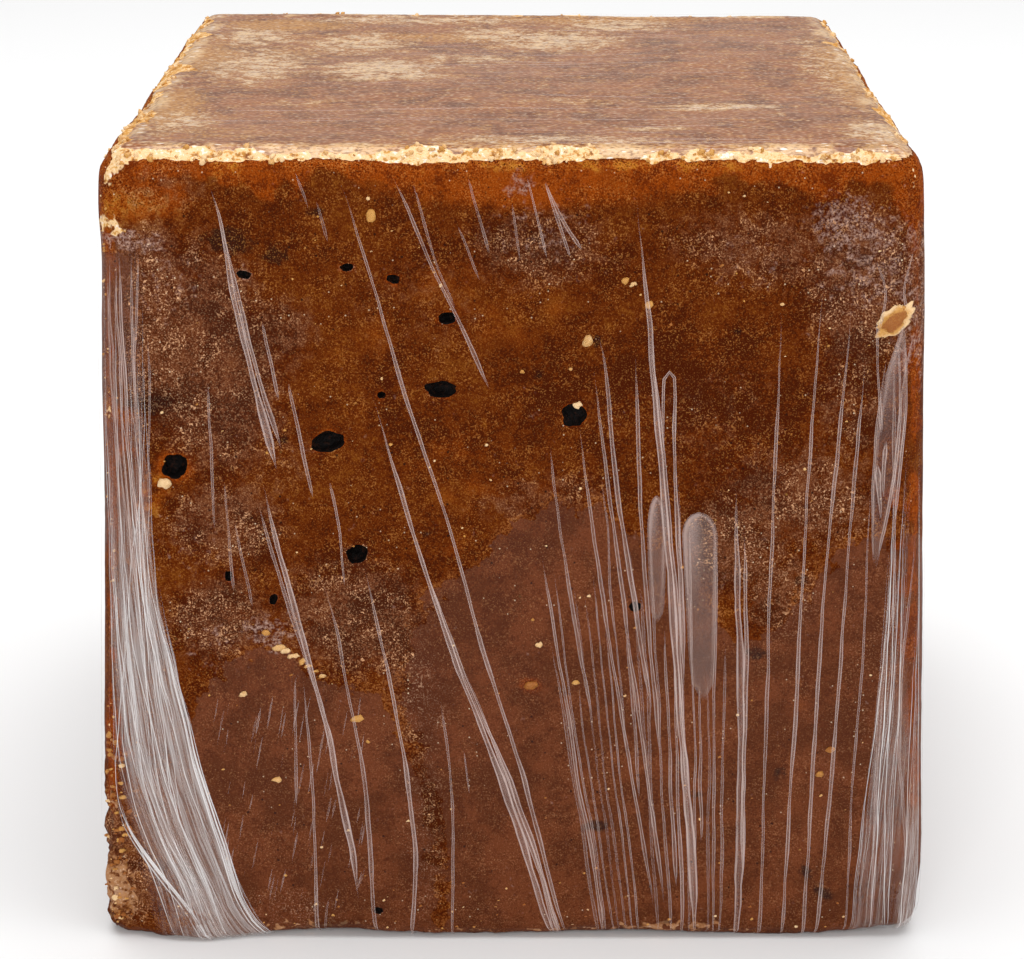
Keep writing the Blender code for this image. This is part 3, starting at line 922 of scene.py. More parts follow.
def crumbTree():
    # rough grains: one on each guide point, and many more along the crust
    tree, given, out = newGroup("sugarCrumbs", "GeometryNodeTree", {
        "Guides": ("Geometry", None), "Food": ("Object", None), "Density": ("Float", 1.0),
        "Small": ("Float", 0.1 * mm), "Large": ("Float", 0.3 * mm), "Ragged": ("Float", 0.5 * mm),
        "Seed": ("Int", 5),
        "Material": ("Material", None)}, {"Geometry": "Geometry"})
    food = objectGeometry(tree, given["Food"])
    ball = addNode(tree, "GeometryNodeMeshIcoSphere", {"Radius": 1.0, "Subdivisions": 2}).outputs[0]
    place = ownPlace(tree)
    dents = ramp(noiseAt(place, 0.8, 2.0), 0.3, 0.7, 0.6, 1.2)
    grain = placedAt(tree, ball, scaled(place, dents))

    # the guide points, set on the food
    onFood = placedAt(tree, given["Guides"], nearestOn(tree, food, place))
    points = addNode(tree, "GeometryNodeMeshToPoints", {"Mesh": onFood}).outputs[0]
    size = join(tree, readField(tree, "wide"), times(readField(tree, "tall"), 0.7),
                readField(tree, "tall"))
    placed = instanced(tree, points, grain, size)

    # the crust's own crumbs, most of them along the front
    crust = readField(tree, "crust")
    frontFirst = ramp(split(place)[1], -30 * mm, -40 * mm, 0.35, 1.0)
    highFirst = ramp(split(place)[2], 60 * mm, 75 * mm, 0.3, 1.0)
    amount = times(times(ramp(crust, 0.45, 0.8), highFirst),
                   times(frontFirst, given["Density"]))
    scattered = addNode(tree, "GeometryNodeDistributePointsOnFaces", {
        "Mesh": food, "Density": times(amount, 1e6), "Seed": given["Seed"]}).outputs[0]
    turn = addNode(tree, "FunctionNodeRandomValue", {0: (0.0, 0.0, 0.0), 1: (6.3, 6.3, 6.3), 8: 3},
                   data_type="FLOAT_VECTOR").outputs[0]
    spread = addNode(tree, "FunctionNodeRandomValue", {2: given["Small"], 3: given["Large"], 8: 9}).outputs[1]
    rimmed = instanced(tree, scattered, grain, join(tree, spread, spread, spread), turn)
    pick = addNode(tree, "FunctionNodeRandomValue", {2: 0.4, 3: 1.1, 8: 12}).outputs[1]
    rimmed = storeField(tree, rimmed, "pale", pick, domain="INSTANCE")
    both = tree.nodes.new("GeometryNodeJoinGeometry")
    tree.links.new(placed, both.inputs[0])
    tree.links.new(rimmed, both.inputs[0])
    solidGrains = addNode(tree, "GeometryNodeRealizeInstances", {"Geometry": both.outputs[0]}).outputs[0]
    rough = less(noiseAt(scaled(place, 1 / mm), 0.45), 0.5)
    normal = addNode(tree, "GeometryNodeInputNormal").outputs[0]
    ragged = moved(tree, solidGrains, scaled(normal, times(rough, given["Ragged"])))
    finishTree(tree, ragged, given["Material"], out)
    return tree


def makeCrumbs(food, material, chance):
    small, large = crumbs["rimSize"]
    values = {"Food": food, "Density": crumbs["rimDensity"], "Small": small / 2 * mm, "Large": large / 2 * mm,
              "Ragged": crumbs["ragged"] * mm, "Seed": 5, "Material": material}
    return grow("crumbs", crumbTree(), values, crumbGuides(chance))


def makeFlake(material):
    # a thin ragged chip with an amber middle and a cream rim
    made = bmesh.new()
    points = bmesh.ops.create_icosphere(made, subdivisions=4, radius=1.0)["verts"]
    turn = Matrix.Rotation(-math.radians(flake["tilt"]), 3, "Y")
    middle = faceSpot(0, flake["across"], flake["up"])
    pale = []
    for point in points:
        away = math.hypot(point.co.x, point.co.z)
        pale.append(0.1 + 0.9 * max(0.0, away - 0.5) / 0.5)
        swell = 1 + flake["ragged"] * noise.fractal(point.co * 2.2, 0.8, 2.0, 3)
        x, y, z = point.co
        spot = Vector((x * flake["wide"], y * flake["thick"], z * flake["tall"])) * swell
        spot.y += flake["curl"][0] * spot.x * spot.x * flake["curl"][1]
        point.co = (middle + turn @ spot) * mm
    mesh = bpy.data.meshes.new("flake")
    made.to_mesh(mesh)
    made.free()
    writeField(mesh, "pale", pale)
    mesh.materials.append(material)
    mesh.shade_smooth()
    return newObject("flake", mesh)


# The film's creases on the front: half width at the start and at the end, strength, and the points they
# run through, across from the middle and up from the table
frontCreases = [
    (0.22, 0.30, 0.8, [(-18.2, 87.9), (-15, 77.9), (-11.7, 65.3), (-8.4, 54.8), (-6, 46.7), (-3.9, 38),
                       (-1.8, 30.4), (0.8, 21.7), (3.6, 10.1), (5.9, 1.3)]),
    (0.20, 0.55, 0.9, [(-15, 64.9), (-12.3, 54.8), (-9.9, 46.3), (-6.1, 33.8), (-2.5, 23.7), (1.6, 10.6),
                       (4.4, 1.6)]),
    (0.20, 0.35, 0.8, [(-9.9, 46.3), (-7.2, 38.2), (-4.1, 29.4), (-1.2, 22.3), (2.7, 10.6), (5.2, 1.6)]),
    (0.15, 0.45, 0.8, [(-5.5, 33.8), (-2.0, 24.2), (1.0, 14.6), (3.4, 7.6), (4.9, 1.6)]),
    (0.20, 0.30, 0.7, [(-12.4, 87.6), (-10.8, 83.8), (-7.2, 75.5), (-4.2, 69.1), (-2.4, 64.6)]),
    (0.15, 0.20, 0.5, [(-10.4, 87.0), (-8.2, 79.3), (-6.0, 73.5)]),
    (0.16, 0.50, 0.9, [(-31.3, 86.8), (-30.1, 82), (-29.3, 75.1), (-27.9, 68.8), (-26.7, 62.8), (-25.1, 55.9)]),
    (0.16, 0.35, 0.8, [(-30.6, 84), (-29.4, 78.1), (-28.1, 72), (-26.2, 64), (-24.6, 58.4)]),
    (0.30, 0.40, 0.9, [(-26.8, 55), (-25.3, 47.4), (-23.8, 40.7), (-22.2, 33.8), (-20.5, 26.1), (-19.3, 18.2),
                       (-18.1, 11.3), (-17.4, 4.9)]),
    (0.20, 0.25, 0.6, [(-27.4, 53), (-24.6, 41.4), (-21.4, 30), (-19.9, 22)]),
    (0.25, 0.15, 0.7, [(-19.6, 54.8), (-18.6, 49.3), (-18.2, 42.9)]),
    (0.18, 0.35, 0.7, [(-20.7, 44), (-19.2, 38), (-17.9, 29.2), (-16.6, 20.6), (-15.9, 8.5), (-15.5, 1.5)]),
    (0.18, 0.38, 0.8, [(-16.1, 45.5), (-14.6, 38), (-13, 29.2), (-11.8, 20.6), (-10.9, 10.5), (-11.4, 2.4)]),
    (0.20, 0.20, 0.6, [(-8, 29.9), (-7.2, 23.4), (-6.7, 16.6), (-6.8, 1.5)]),
    (0.15, 0.12, 0.6, [(-5.4, 23.7), (-4.8, 18.2)]),
    (0.15, 0.20, 0.6, [(-32.2, 65.8), (-32, 49.2)]), (0.14, 0.20, 0.5, [(-30.8, 54.8), (-30.3, 42.2)]),
    (0.14, 0.18, 0.5, [(-29.9, 50.4), (-28.3, 40.3)]), (0.15, 0.20, 0.7, [(-26.3, 72.3), (-24.7, 63.7)]),
    (0.18, 0.20, 0.7, [(-23.7, 65.8), (-21.4, 52.9)]), (0.20, 0.20, 0.6, [(-23.8, 32.6), (-24.1, 16.5)]),
    (0.18, 0.25, 0.7, [(-22.9, 32.3), (-22.2, 16.5), (-22.2, 2.4)]),
    (0.22, 0.60, 0.9, [(12.7, 85.5), (13.6, 77.6), (14.3, 71.7), (15.1, 62.8), (15.9, 54.9), (16.8, 46.4),
                       (17.6, 36.2), (18.7, 24.6), (19.9, 12.7), (20.7, 1.6)]),
    (0.18, 0.35, 0.8, [(14.0, 73), (15.5, 62), (16.6, 52), (17.6, 42), (18.4, 31), (19.5, 17)]),
    (0.16, 0.30, 0.9, [(16.1, 54.9), (15.9, 62), (15.9, 65.4), (16.2, 66.7), (16.8, 66.7), (17.1, 65.6),
                       (17.3, 54.9), (18, 45.8), (18.8, 30.7)]),
    (0.18, 0.25, 0.7, [(12.9, 69.2), (13.5, 54.9), (14.6, 40), (16.4, 22)]),
    (0.18, 0.25, 0.7, [(8.5, 67.4), (10.1, 54.8), (12.4, 38), (15, 20), (17.2, 4)]),
    (0.20, 0.30, 0.7, [(8.6, 71.3), (9.7, 67.8), (11, 54.9), (13, 42), (15.3, 28)]),
    (0.15, 0.25, 0.6, [(3.9, 59.2), (4.4, 54.8), (6.2, 42), (8.8, 27)]),
    (0.18, 0.25, 0.7, [(7, 61.3), (7.8, 54.8), (9.8, 41), (13.0, 22), (16, 4)]),
    (0.16, 0.22, 0.7, [(28, 74.1), (28, 64.6), (27.8, 43.8), (28, 1.7)]),
    (0.18, 0.25, 0.8, [(32.4, 76.9), (31.9, 66.4), (31.5, 54.9), (31, 24.5), (30.5, 1.7)]),
    (0.18, 0.25, 0.8, [(35.5, 75.2), (35, 66.4), (34.3, 54.9), (33.4, 32.4), (32.9, 1.7)]),
    (0.18, 0.25, 0.8, [(37.1, 69.2), (36.4, 54.9), (35.5, 24.5), (34.4, 1.7)]),
    (0.14, 0.16, 0.6, [(38.1, 54.9), (38.2, 36.3), (37.7, 20.7), (37.7, 1.7)]),
    (0.30, 0.60, 0.7, [(23.8, 54.9), (24.2, 45.6), (25.2, 24.6), (25.4, 1.6)]),
    (0.20, 0.30, 0.8, [(24.8, 50), (25.3, 40), (25.6, 24.6), (25.8, 8)]),
    (0.15, 0.20, 0.7, [(1.5, 87.6), (3.5, 79)]), (0.12, 0.15, 0.5, [(-0.1, 84.8), (0.7, 78.7)]),
    (0.20, 0.25, 0.7, [(3.3, 87.2), (6, 79)]), (0.20, 0.25, 0.7, [(3.4, 86.6), (5.4, 82.6), (7.2, 79.8)]),
    (0.15, 0.20, 0.5, [(-4.7, 87.6), (-2.4, 79.3)]), (0.12, 0.15, 0.5, [(-5.8, 82.5), (-3.4, 76.6)]),
    (0.16, 0.20, 0.5, [(-22.4, 88), (-21.2, 84.2)]), (0.14, 0.18, 0.4, [(-20.4, 85), (-19.2, 80.6)]),
    (0.2, 0.3, 0.6, [(39.8, 71.4), (40.6, 54.9), (41.2, 42), (40.6, 36.3), (40.2, 28.5), (40.4, 16.7),
                     (40.6, 1.7)]),
    (0.2, 0.3, 0.6, [(43.9, 49.4), (42.5, 33.9), (42.6, 24.6), (43.6, 16.7), (45, 1.7)]),
    (0.14, 0.24, 1.0, [(-40.9, 80.6), (-40.9, 75), (-40.7, 66.4), (-40.8, 59.5), (-40.4, 52.8), (-39.6, 42)]),
    (0.12, 0.20, 1.0, [(-41.3, 79.6), (-41.4, 73.8), (-41.1, 67.8), (-41.3, 60), (-40.9, 48), (-40.4, 38)]),
    (0.10, 0.16, 0.9, [(-39.6, 80.3), (-39.8, 75), (-39.8, 69.7), (-39.9, 62), (-39.7, 52), (-38.8, 44)]),
    (0.10, 0.14, 0.8, [(-38.9, 79.8), (-39.4, 72.4), (-39.8, 66.4), (-39.6, 58)]),
    (0.12, 0.14, 0.6, [(-38.3, 70.8), (-38.3, 65), (-38.7, 58.8), (-39.0, 52)]),
    (0.10, 0.18, 0.8, [(-42.8, 78.6), (-42.7, 71.8), (-42.5, 65), (-42.0, 59.5), (-41.4, 52), (-40.8, 44)]),
    (0.10, 0.14, 0.8, [(-42.0, 80.1), (-42.3, 75), (-42.0, 69), (-42.1, 60), (-42.0, 48)]),
    (0.08, 0.12, 0.6, [(-43.8, 80), (-44.2, 70), (-44.0, 60), (-43.4, 48), (-43.2, 38)]),
    (0.12, 0.20, 1.0, [(40.9, 71.5), (41.6, 64), (41.2, 56), (40.9, 50)]),
    (0.14, 0.24, 1.0, [(40.3, 70.5), (40.9, 62), (40.4, 54), (39.3, 46)]),
    (0.40, 0.10, 1.0, [(38.7, 57), (39.1, 53.6), (39.4, 50.6)]), (0.3, 0.1, 0.9, [(39.6, 59.5),
                                                                                  (39.4, 56), (39.6, 53)]),
    (0.10, 0.15, 0.8, [(39.3, 69), (38.6, 62), (38.4, 54), (38.9, 45.5)]),
    (0.12, 0.12, 0.8, [(42.2, 71), (41.2, 66.5), (40.7, 60)]), (0.12, 0.2, 0.8, [(38.0, 73), (38.4, 67),
                                                                                 (39.1, 60)]),
    (0.12, 0.16, 0.7, [(41.8, 80), (40.6, 76), (41.4, 73)]), (0.10, 0.14, 0.6, [(37.6, 79), (38.8, 75.4),
                                                                                (38.2, 71)]),
]
# the fan in the lower middle, where creases about as far apart as their spacing draw together downwards,
# and the short dashes at the lower left
fan = {"left": 2.0, "right": 23.5, "spacing": 1.0, "height": 50.0, "meet": (24.0, 0.36), "width": 0.21}
dashes = {"count": 80, "left": -32.5, "right": -16.0, "low": 5.0, "high": 33.0, "length": (1.3, 4.2),
          "lean": -0.2, "width": 0.09}
ribbon = {"spacing": 1.1, "lift": 0.09, "strandLift": 0.16, "wander": 0.10, "arch": 0.25, "widen": 0.88}


def fanCreases(chance):
    lines = []
    x = fan["left"]
    meet, pull = fan["meet"]
    while x < fan["right"]:
        start, end = fan["height"] + chance.uniform(-18, 8), chance.choice([0.8, 0.8, chance.uniform(2, 24)])
        points = []
        for step in range(6):
            z = start + (end - start) * step / 5
            points.append((x + pull * (meet - x) * (1 - z / fan["height"]) + chance.gauss(0, 0.10), z))
        width = fan["width"] * chance.uniform(0.5, 1.3)
        lines.append((width * 0.7, width, chance.uniform(0.3, 0.8), points))
        x += fan["spacing"] * chance.uniform(0.6, 1.4)
    return lines


def dashCreases(chance):
    lines = []
    for _ in range(dashes["count"]):
        x, z = chance.uniform(dashes["left"], dashes["right"]), chance.uniform(dashes["low"], dashes["high"])
        length = chance.uniform(*dashes["length"])
        foot = (x + dashes["lean"] * length + chance.gauss(0, 0.05), z - length)
        width = dashes["width"] * chance.uniform(0.7, 1.5)
        middle = ((x + foot[0]) / 2, z - length / 2)
        lines.append((width, width, chance.uniform(0.25, 0.7), [(x, z), middle, foot]))
    return lines


# The gathered bundles at the sides of the front: many strands between two borders, drawn top to foot
bundles = {
    "left": {
        "outer": [(-44.2, 80.8), (-44.5, 68), (-44.7, 50), (-45.0, 34), (-45.0, 25), (-44.0, 18.5),
                  (-42.2, 12.6), (-39.6, 7.6), (-37.6, 0)],
        "inner": [(-38.6, 80.3), (-39.2, 64.5), (-38.7, 54.8), (-38.7, 45.5), (-37.4, 36.1), (-36, 28.3),
                  (-34.7, 20.5), (-32.3, 11.7), (-30.3, 4.4), (-27.4, 0)],
        "strands": 86, "crowd": 0.4, "drift": 0.4, "width": (0.025, 0.085), "top": 80.8, "begin": 0.42,
    },
    "right": {
        "outer": [(42.6, 62), (42.4, 45), (42.6, 30), (42.3, 15), (42.4, 0)],
        "inner": [(40.6, 62), (40.4, 45), (39.8, 30), (39.0, 15), (38.4, 0)],
        "strands": 20, "crowd": 0.2, "drift": 0.34, "width": (0.03, 0.08), "top": 62.0, "begin": 0.25,
    },
    "edge": {
        "outer": [(45.0, 74), (45.6, 50), (46.0, 25), (46.4, 0)],
        "inner": [(43.6, 74), (43.8, 50), (44.0, 25), (44.2, 0)],
        "strands": 14, "crowd": 0.0, "drift": 0.5, "width": (0.025, 0.06), "top": 66.0, "begin": 0.3,
    },
    "lowEdge": {
        "outer": [(-45.0, 20.5), (-43.4, 13.7), (-40.7, 9.3), (-37.9, 5.2), (-35.2, 0)],
        "inner": [(-44.2, 19.5), (-42.4, 13.7), (-39.5, 9.3), (-36.7, 5.2), (-33.8, 0)],
        "strands": 9, "crowd": 0.0, "drift": 0.3, "width": (0.05, 0.12), "top": 19.0, "begin": 0.1,
        "bright": 0.7,
    },
    "innerEdge": {
        "outer": [(-40.3, 47), (-37.9, 36.1), (-36.5, 28.3), (-35.2, 20.5), (-32.9, 11.7), (-30.9, 4.4),
                  (-28.2, 0)],
        "inner": [(-38.7, 47), (-37.3, 36.1), (-35.9, 28.3), (-34.5, 20.5), (-32.1, 11.7), (-30.1, 4.4),
                  (-27.2, 0)],
        "strands": 10, "crowd": 0.0, "drift": 0.5, "width": (0.06, 0.15), "top": 47.0, "begin": 0.15,
        "bright": 0.45,
    },
}


def alongLine(points, up):
    # how far across a line drawn from top to foot is at a height
    heights = [point[1] for point in points][::-1]
    return float(np.interp(up, heights, [point[0] for point in points][::-1]))


def bundleStrands(settings, chance):
    lines = []
    for _ in range(settings["strands"]):
        share = chance.random() ** (1 - settings["crowd"] * 0.5)
        drift = chance.gauss(0, settings["drift"] * (2.2 if chance.random() < 0.25 else 0.8))
        top = settings["top"] * (1 - min(0.7, abs(chance.gauss(0, settings["begin"]))))
        foot = chance.choice([0.3, 0.3, 0.3, settings["top"] * chance.random() * 0.5])
        points = []
        for step in range(9):
            up = top + (foot - top) * step / 8
            place = share + drift * (up / settings["top"] - 0.5) + chance.gauss(0, 0.012)
            place = min(1.03, max(-0.03, place))
            outer, inner = alongLine(settings["outer"], up), alongLine(settings["inner"], up)
            points.append((outer + (inner - outer) * place, up))
        width = chance.uniform(*settings["width"])
        bright = chance.random() < settings.get("bright", 0.2)
        light = chance.uniform(0.55, 0.95) if bright else chance.uniform(0.06, 0.36)
        lines.append((width, width, light, points))
    return lines


# The other faces: creases from edge to edge by rule, gathered towards the foot's corners
otherFaces = {"count": 26, "width": (0.10, 0.5), "lean": 5.0, "topCount": 50, "topWidth": (0.05, 0.22),
              "underCount": 44, "underReach": 43, "underTwist": 0.25}


def topCreases(chance):
    # fine tension lines that run across the top
    lines = []
    for _ in range(otherFaces["topCount"]):
        left, right = sorted((chance.uniform(-42, 42), chance.uniform(-42, 42)))
        near, slope = chance.uniform(-40, 40), chance.gauss(0, 0.05)
        points = [(left + (right - left) * step / 4, near + slope * step * 10 + chance.gauss(0, 0.2))
                  for step in range(5)]
        width = chance.uniform(*otherFaces["topWidth"])
        lines.append((width, width * 0.7, chance.uniform(0.2, 0.7), points))
    return lines


def underCreases(chance):
    # the film is drawn together under the block, in folds towards its middle
    lines = []
    for count in range(otherFaces["underCount"]):
        angle = math.tau * (count + chance.uniform(-0.3, 0.3)) / otherFaces["underCount"]
        far = otherFaces["underReach"] / max(abs(math.cos(angle)), abs(math.sin(angle)))
        points = []
        for share in (1.0, 0.8, 0.6, 0.4, 0.2, chance.uniform(0.03, 0.12)):
            turned = angle + otherFaces["underTwist"] * (1 - share)
            points.append((far * share * math.cos(turned), far * share * math.sin(turned)))
        lines.append((0.6, 0.25, chance.uniform(0.5, 0.9), points))
    return lines


def plainCreases(chance):
    lines = []
    for _ in range(otherFaces["count"]):
        x = chance.uniform(-42, 42)
        high = chance.choice([88.0, 88.0, chance.uniform(30, 86)])
        low = chance.choice([0.8, 0.8, 0.8, chance.uniform(6, high - 12)])
        lean = otherFaces["lean"] * (1 if x > 0 else -1) * chance.uniform(-0.3, 1)
        points = [(x + lean * (1 - up / 90) ** 2 + chance.gauss(0, 0.15), up)
                  for up in (high + (low - high) * step / 5 for step in range(6))]
        width = chance.uniform(*otherFaces["width"]) * (0.4 + 0.6 * chance.random())
        lines.append((width * 0.7, width, chance.uniform(0.4, 0.85), points))
    return lines


def guideMesh(linesByFace):
    # guide edges in space for every crease, with its half width and strength on each point
    places, edges, widths, lights, layers = [], [], [], [], []
    for face, lines in linesByFace:
        for number, (startWidth, endWidth, light, points) in enumerate(lines):
            route = [faceSpot(face, across, up) for across, up in points]
            if face < 4 and points[-1][1] < 3:
                # a crease that reaches the foot goes on under it
                inward = Vector((route[-1].x, route[-1].y, 0)).normalized()
                route[-1].z = 0.3
                route.append(route[-1] - inward * 2.5)
            for step, spot in enumerate(route):
                if step:
                    edges.append((len(places) - 1, len(places)))
                share = step / (len(route) - 1)
                places.append(spot * mm)
                widths.append((startWidth + (endWidth - startWidth) * share) * ribbon["widen"] * mm)
                lights.append(light)
                layers.append((number * 7 % 11) / 10)
    mesh = bpy.data.meshes.new("creaseGuides")
    mesh.from_pydata(places, edges, [])
    for name, values in (("halfWidth", widths), ("light", lights), ("layer", layers)):
        writeField(mesh, name, values)
    return mesh


def creaseTree():
    # guide edges become smooth, tapered ribbons that lie on the film and arch a little off it
    tree, given, out = newGroup("filmCreases", "GeometryNodeTree", {
        "Guides": ("Geometry", None), "Film": ("Object", None), "Spacing": ("Float", 1.0 * mm),
        "Lift": ("Float", 0.05 * mm), "Wander": ("Float", 0.1 * mm), "Arch": ("Float", 0.3),
        "Material": ("Material", None)}, {"Geometry": "Geometry"})
    film = objectGeometry(tree, given["Film"])
    curve = addNode(tree, "GeometryNodeMeshToCurve", {"Mesh": given["Guides"]}).outputs[0]
    curve = addNode(tree, "GeometryNodeCurveSplineType", {"Curve": curve}, spline_type="CATMULL_ROM").outputs[0]
    curve = addNode(tree, "GeometryNodeResampleCurve", {0: curve, 3: given["Spacing"]},
                    mode="LENGTH").outputs[0]
    along = addNode(tree, "GeometryNodeSplineParameter").outputs
    curve = storeField(tree, curve, "along", along["Factor"])

    place = ownPlace(tree)
    swing = addNode(tree, "ShaderNodeTexNoise", {"Vector": place, "Scale": 160.0, "Detail": 1.0}).outputs[1]
    centred = vectorMaths("SUBTRACT", swing, (0.5, 0.5, 0.5))
    swung = vectorMaths("ADD", place, scaled(centred, times(given["Wander"], 4.0)))
    near, facing = nearestOn(tree, film, swung), facingOf(tree, film, swung)
    lift = times(plus(readField(tree, "layer"), 0.5), given["Lift"])
    placed = vectorMaths("ADD", near, scaled(facing, lift))
    curve = storeField(tree, curve, "facing", facing, "FLOAT_VECTOR")
    curve = placedAt(tree, curve, placed)
    curve = addNode(tree, "GeometryNodeSetCurveNormal", {0: curve, 2: readField(tree, "facing", "FLOAT_VECTOR")},
                    mode="FREE").outputs[0]

    # the ribbon's section: a few points, highest in the middle
    section = addNode(tree, "GeometryNodeMeshLine", {"Count": 5, "Start Location": (0, 1, 0),
                                                     "Offset": (0, -0.5, 0)}).outputs[0]
    across = split(ownPlace(tree))[1]
    section = storeField(tree, section, "across", across)
    bulge = times(less(1.0, maths("POWER", across, 2.0)), given["Arch"])
    section = moved(tree, section, join(tree, bulge, 0.0, 0.0))
    section = addNode(tree, "GeometryNodeMeshToCurve", {"Mesh": section}).outputs[0]
    taper = times(ramp(readField(tree, "along"), 0.0, 0.16, 0.1, 1.0),
                  ramp(readField(tree, "along"), 1.0, 0.88, 0.1, 1.0))
    pinch = ramp(noiseAt(scaled(place, 1 / mm), 6.0, 2.0), 0.3, 0.7, 0.65, 1.25)
    width = times(times(readField(tree, "halfWidth"), taper), pinch)
    ribbons = addNode(tree, "GeometryNodeCurveToMesh", {
        "Curve": curve, "Profile Curve": section, "Scale": width}).outputs[0]
    finishTree(tree, ribbons, given["Material"], out)
    return tree


# crease and strand are the colours of painted highlights along the film's folds
filmLook = {"crease": rgb(0.60, 0.46, 0.42), "strand": rgb(0.76, 0.74, 0.74), "air": rgb(0.22, 0.125, 0.085),
            "veil": rgb(0.50, 0.46, 0.45), "warm": rgb(0.30, 0.155, 0.105), "pocket": rgb(0.23, 0.18, 0.16),
            "shade": rgb(0.20, 0.12, 0.10)}


def creaseMaterial(name, colour, edgeShare, middleShare):
    # a fold of clear film: seen by the painted highlights along its two edges, hardly at all between them
    material, tree, shader, place = newMaterial(name, Roughness=0.3, Specular_IOR_Level=0.4)
    across = maths("ABSOLUTE", fieldOf(tree, "across"))
    along, light = fieldOf(tree, "along"), fieldOf(tree, "light")
    rimHighlights = times(ramp(across, 0.35, 0.65), ramp(across, 1.0, 0.9))
    strip = join(tree, times(fieldOf(tree, "across"), 1.7), times(along, 4.0),
                 times(light, 40.0))
    threads = grouped(tree, "fibre", {"Place": strip, "Width": (1.0, 1.0, 1.0), "Sharpness": 2.5})["Streak"]
    body = plus(times(rimHighlights, edgeShare), plus(0.1, times(threads, middleShare)))
    ends = times(ramp(along, 0.0, 0.1), ramp(along, 1.0, 0.93))
    drawn = vectorMaths("MULTIPLY", place, (1.0, 1.0, 0.22))
    dashed = ramp(noiseAt(drawn, 1.2), 0.25, 0.6, 0.7, 1.0)
    alpha = times(times(times(body, light), ends), dashed)
    feed(shader.inputs["Alpha"], maths("MINIMUM", alpha, 0.95))
    feed(shader.inputs["Base Color"], blendColour(maths("MAXIMUM", threads, rimHighlights),
                                                        filmLook["shade"], colour))
    return material


def strandMaterial(name, colour):
    # a single fine fold, with a painted white highlight along its middle
    material, tree, shader, place = newMaterial(name, Roughness=0.35, Specular_IOR_Level=0.4)
    across, along = maths("ABSOLUTE", fieldOf(tree, "across")), fieldOf(tree, "along")
    ends = times(ramp(along, 0.0, 0.35, 0.1, 1.0), ramp(along, 1.0, 0.93))
    feed(shader.inputs["Alpha"], times(times(ends, fieldOf(tree, "light")),
         ramp(across, 1.0, 0.4, 0.1, 0.9)))
    shader.inputs["Base Color"].default_value = colour
    return material


def makeCreases(name, tree, film, linesByFace, material, lift=ribbon["lift"]):
    values = {"Film": film, "Spacing": ribbon["spacing"] * mm, "Lift": lift * mm,
              "Wander": ribbon["wander"] * mm, "Arch": ribbon["arch"], "Material": material}
    return grow(name, tree, values, guideMesh(linesByFace))


def pocket(top, foot, half, cap):
    # the two borders of a long pocket of air: round at its top, narrower and blunt at its foot
    borders = {"outer": [], "inner": []}
    for step in range(17):
        share = (step / 16) ** 1.6
        up = top[1] + (foot[1] - top[1]) * share
        fallen = min(1.0, (top[1] - up) / cap)
        width = half * math.sqrt(1 - (1 - fallen) ** 2) * (1 - 0.35 * share)
        width *= math.sqrt(max(0.0, 1 - share ** 12))
        middle = top[0] + (foot[0] - top[0]) * share
        borders["outer"].append((middle - width - 0.02, up))
        borders["inner"].append((middle + width + 0.02, up))
    return borders


# Sheets of film that show grey: between two borders, laid on the film's surface in fine folds
sheets = {
    "leftBundle": {"face": 0, "outer": bundles["left"]["outer"], "inner": bundles["left"]["inner"],
                   "fade": [(80.8, 0.45), (60, 0.35), (48, 0.7), (35, 1.0), (15, 0.85), (0, 0.9)],
                   "light": 0.72, "folds": 0.06},
    "rightBundle": {"face": 0, "outer": [(42.8, 46), (43.6, 34), (44.8, 25), (44.4, 12), (43.0, 0)],
                    "inner": [(40.4, 46), (39.8, 30), (39.6, 22), (39.0, 12), (38.4, 0)],
                    "fade": [(46, 0.3), (34, 0.9), (24, 1.0), (12, 0.6), (0, 0.5)],
                    "light": 0.42, "folds": 0.06},
    "tornPocket": {"face": 0, "outer": [(40.6, 72), (39.2, 67), (38.4, 60), (38.2, 54), (38.5, 49),
                                        (39.1, 45)],
                   "inner": [(40.9, 72), (41.5, 67), (41.6, 60), (40.7, 54), (39.8, 49), (39.2, 45)],
                   "light": 0.16, "folds": 0.15},
    "lowRight": {"face": 0, "outer": [(43.6, 26), (43.4, 12), (42.6, 0)],
                 "inner": [(46.6, 26), (46.9, 12), (46.6, 0)], "light": 0.65, "folds": 0.05},
    "lowLeft": {"face": 0, "outer": [(-44.8, 18.5), (-42.8, 12.6), (-41.5, 6), (-40.6, 0)],
                "inner": [(-38, 18.5), (-36, 12.6), (-33.5, 6), (-31, 0)], "light": 0.3, "folds": 0.08},
    "longPocket": {"face": 0, **pocket((20.0, 51.4), (20.9, 29.4), 2.0, 3.0), "light": 0.27, "folds": 0.02},
    "shortPocket": {"face": 0, **pocket((15.4, 53.2), (15.7, 38.5), 1.15, 5.0), "light": 0.26, "folds": 0.02},
    "backSeam": {"face": 2, "outer": [(-5.0, 89), (-5.6, 40), (-5.0, 1)], "inner": [(4.5, 89), (5.2, 40),
                                                                                    (5.8, 1)],
                 "light": 0.24, "folds": 0.06},
}
sheetGrid = {"across": 28, "along": 70, "lift": 0.1}


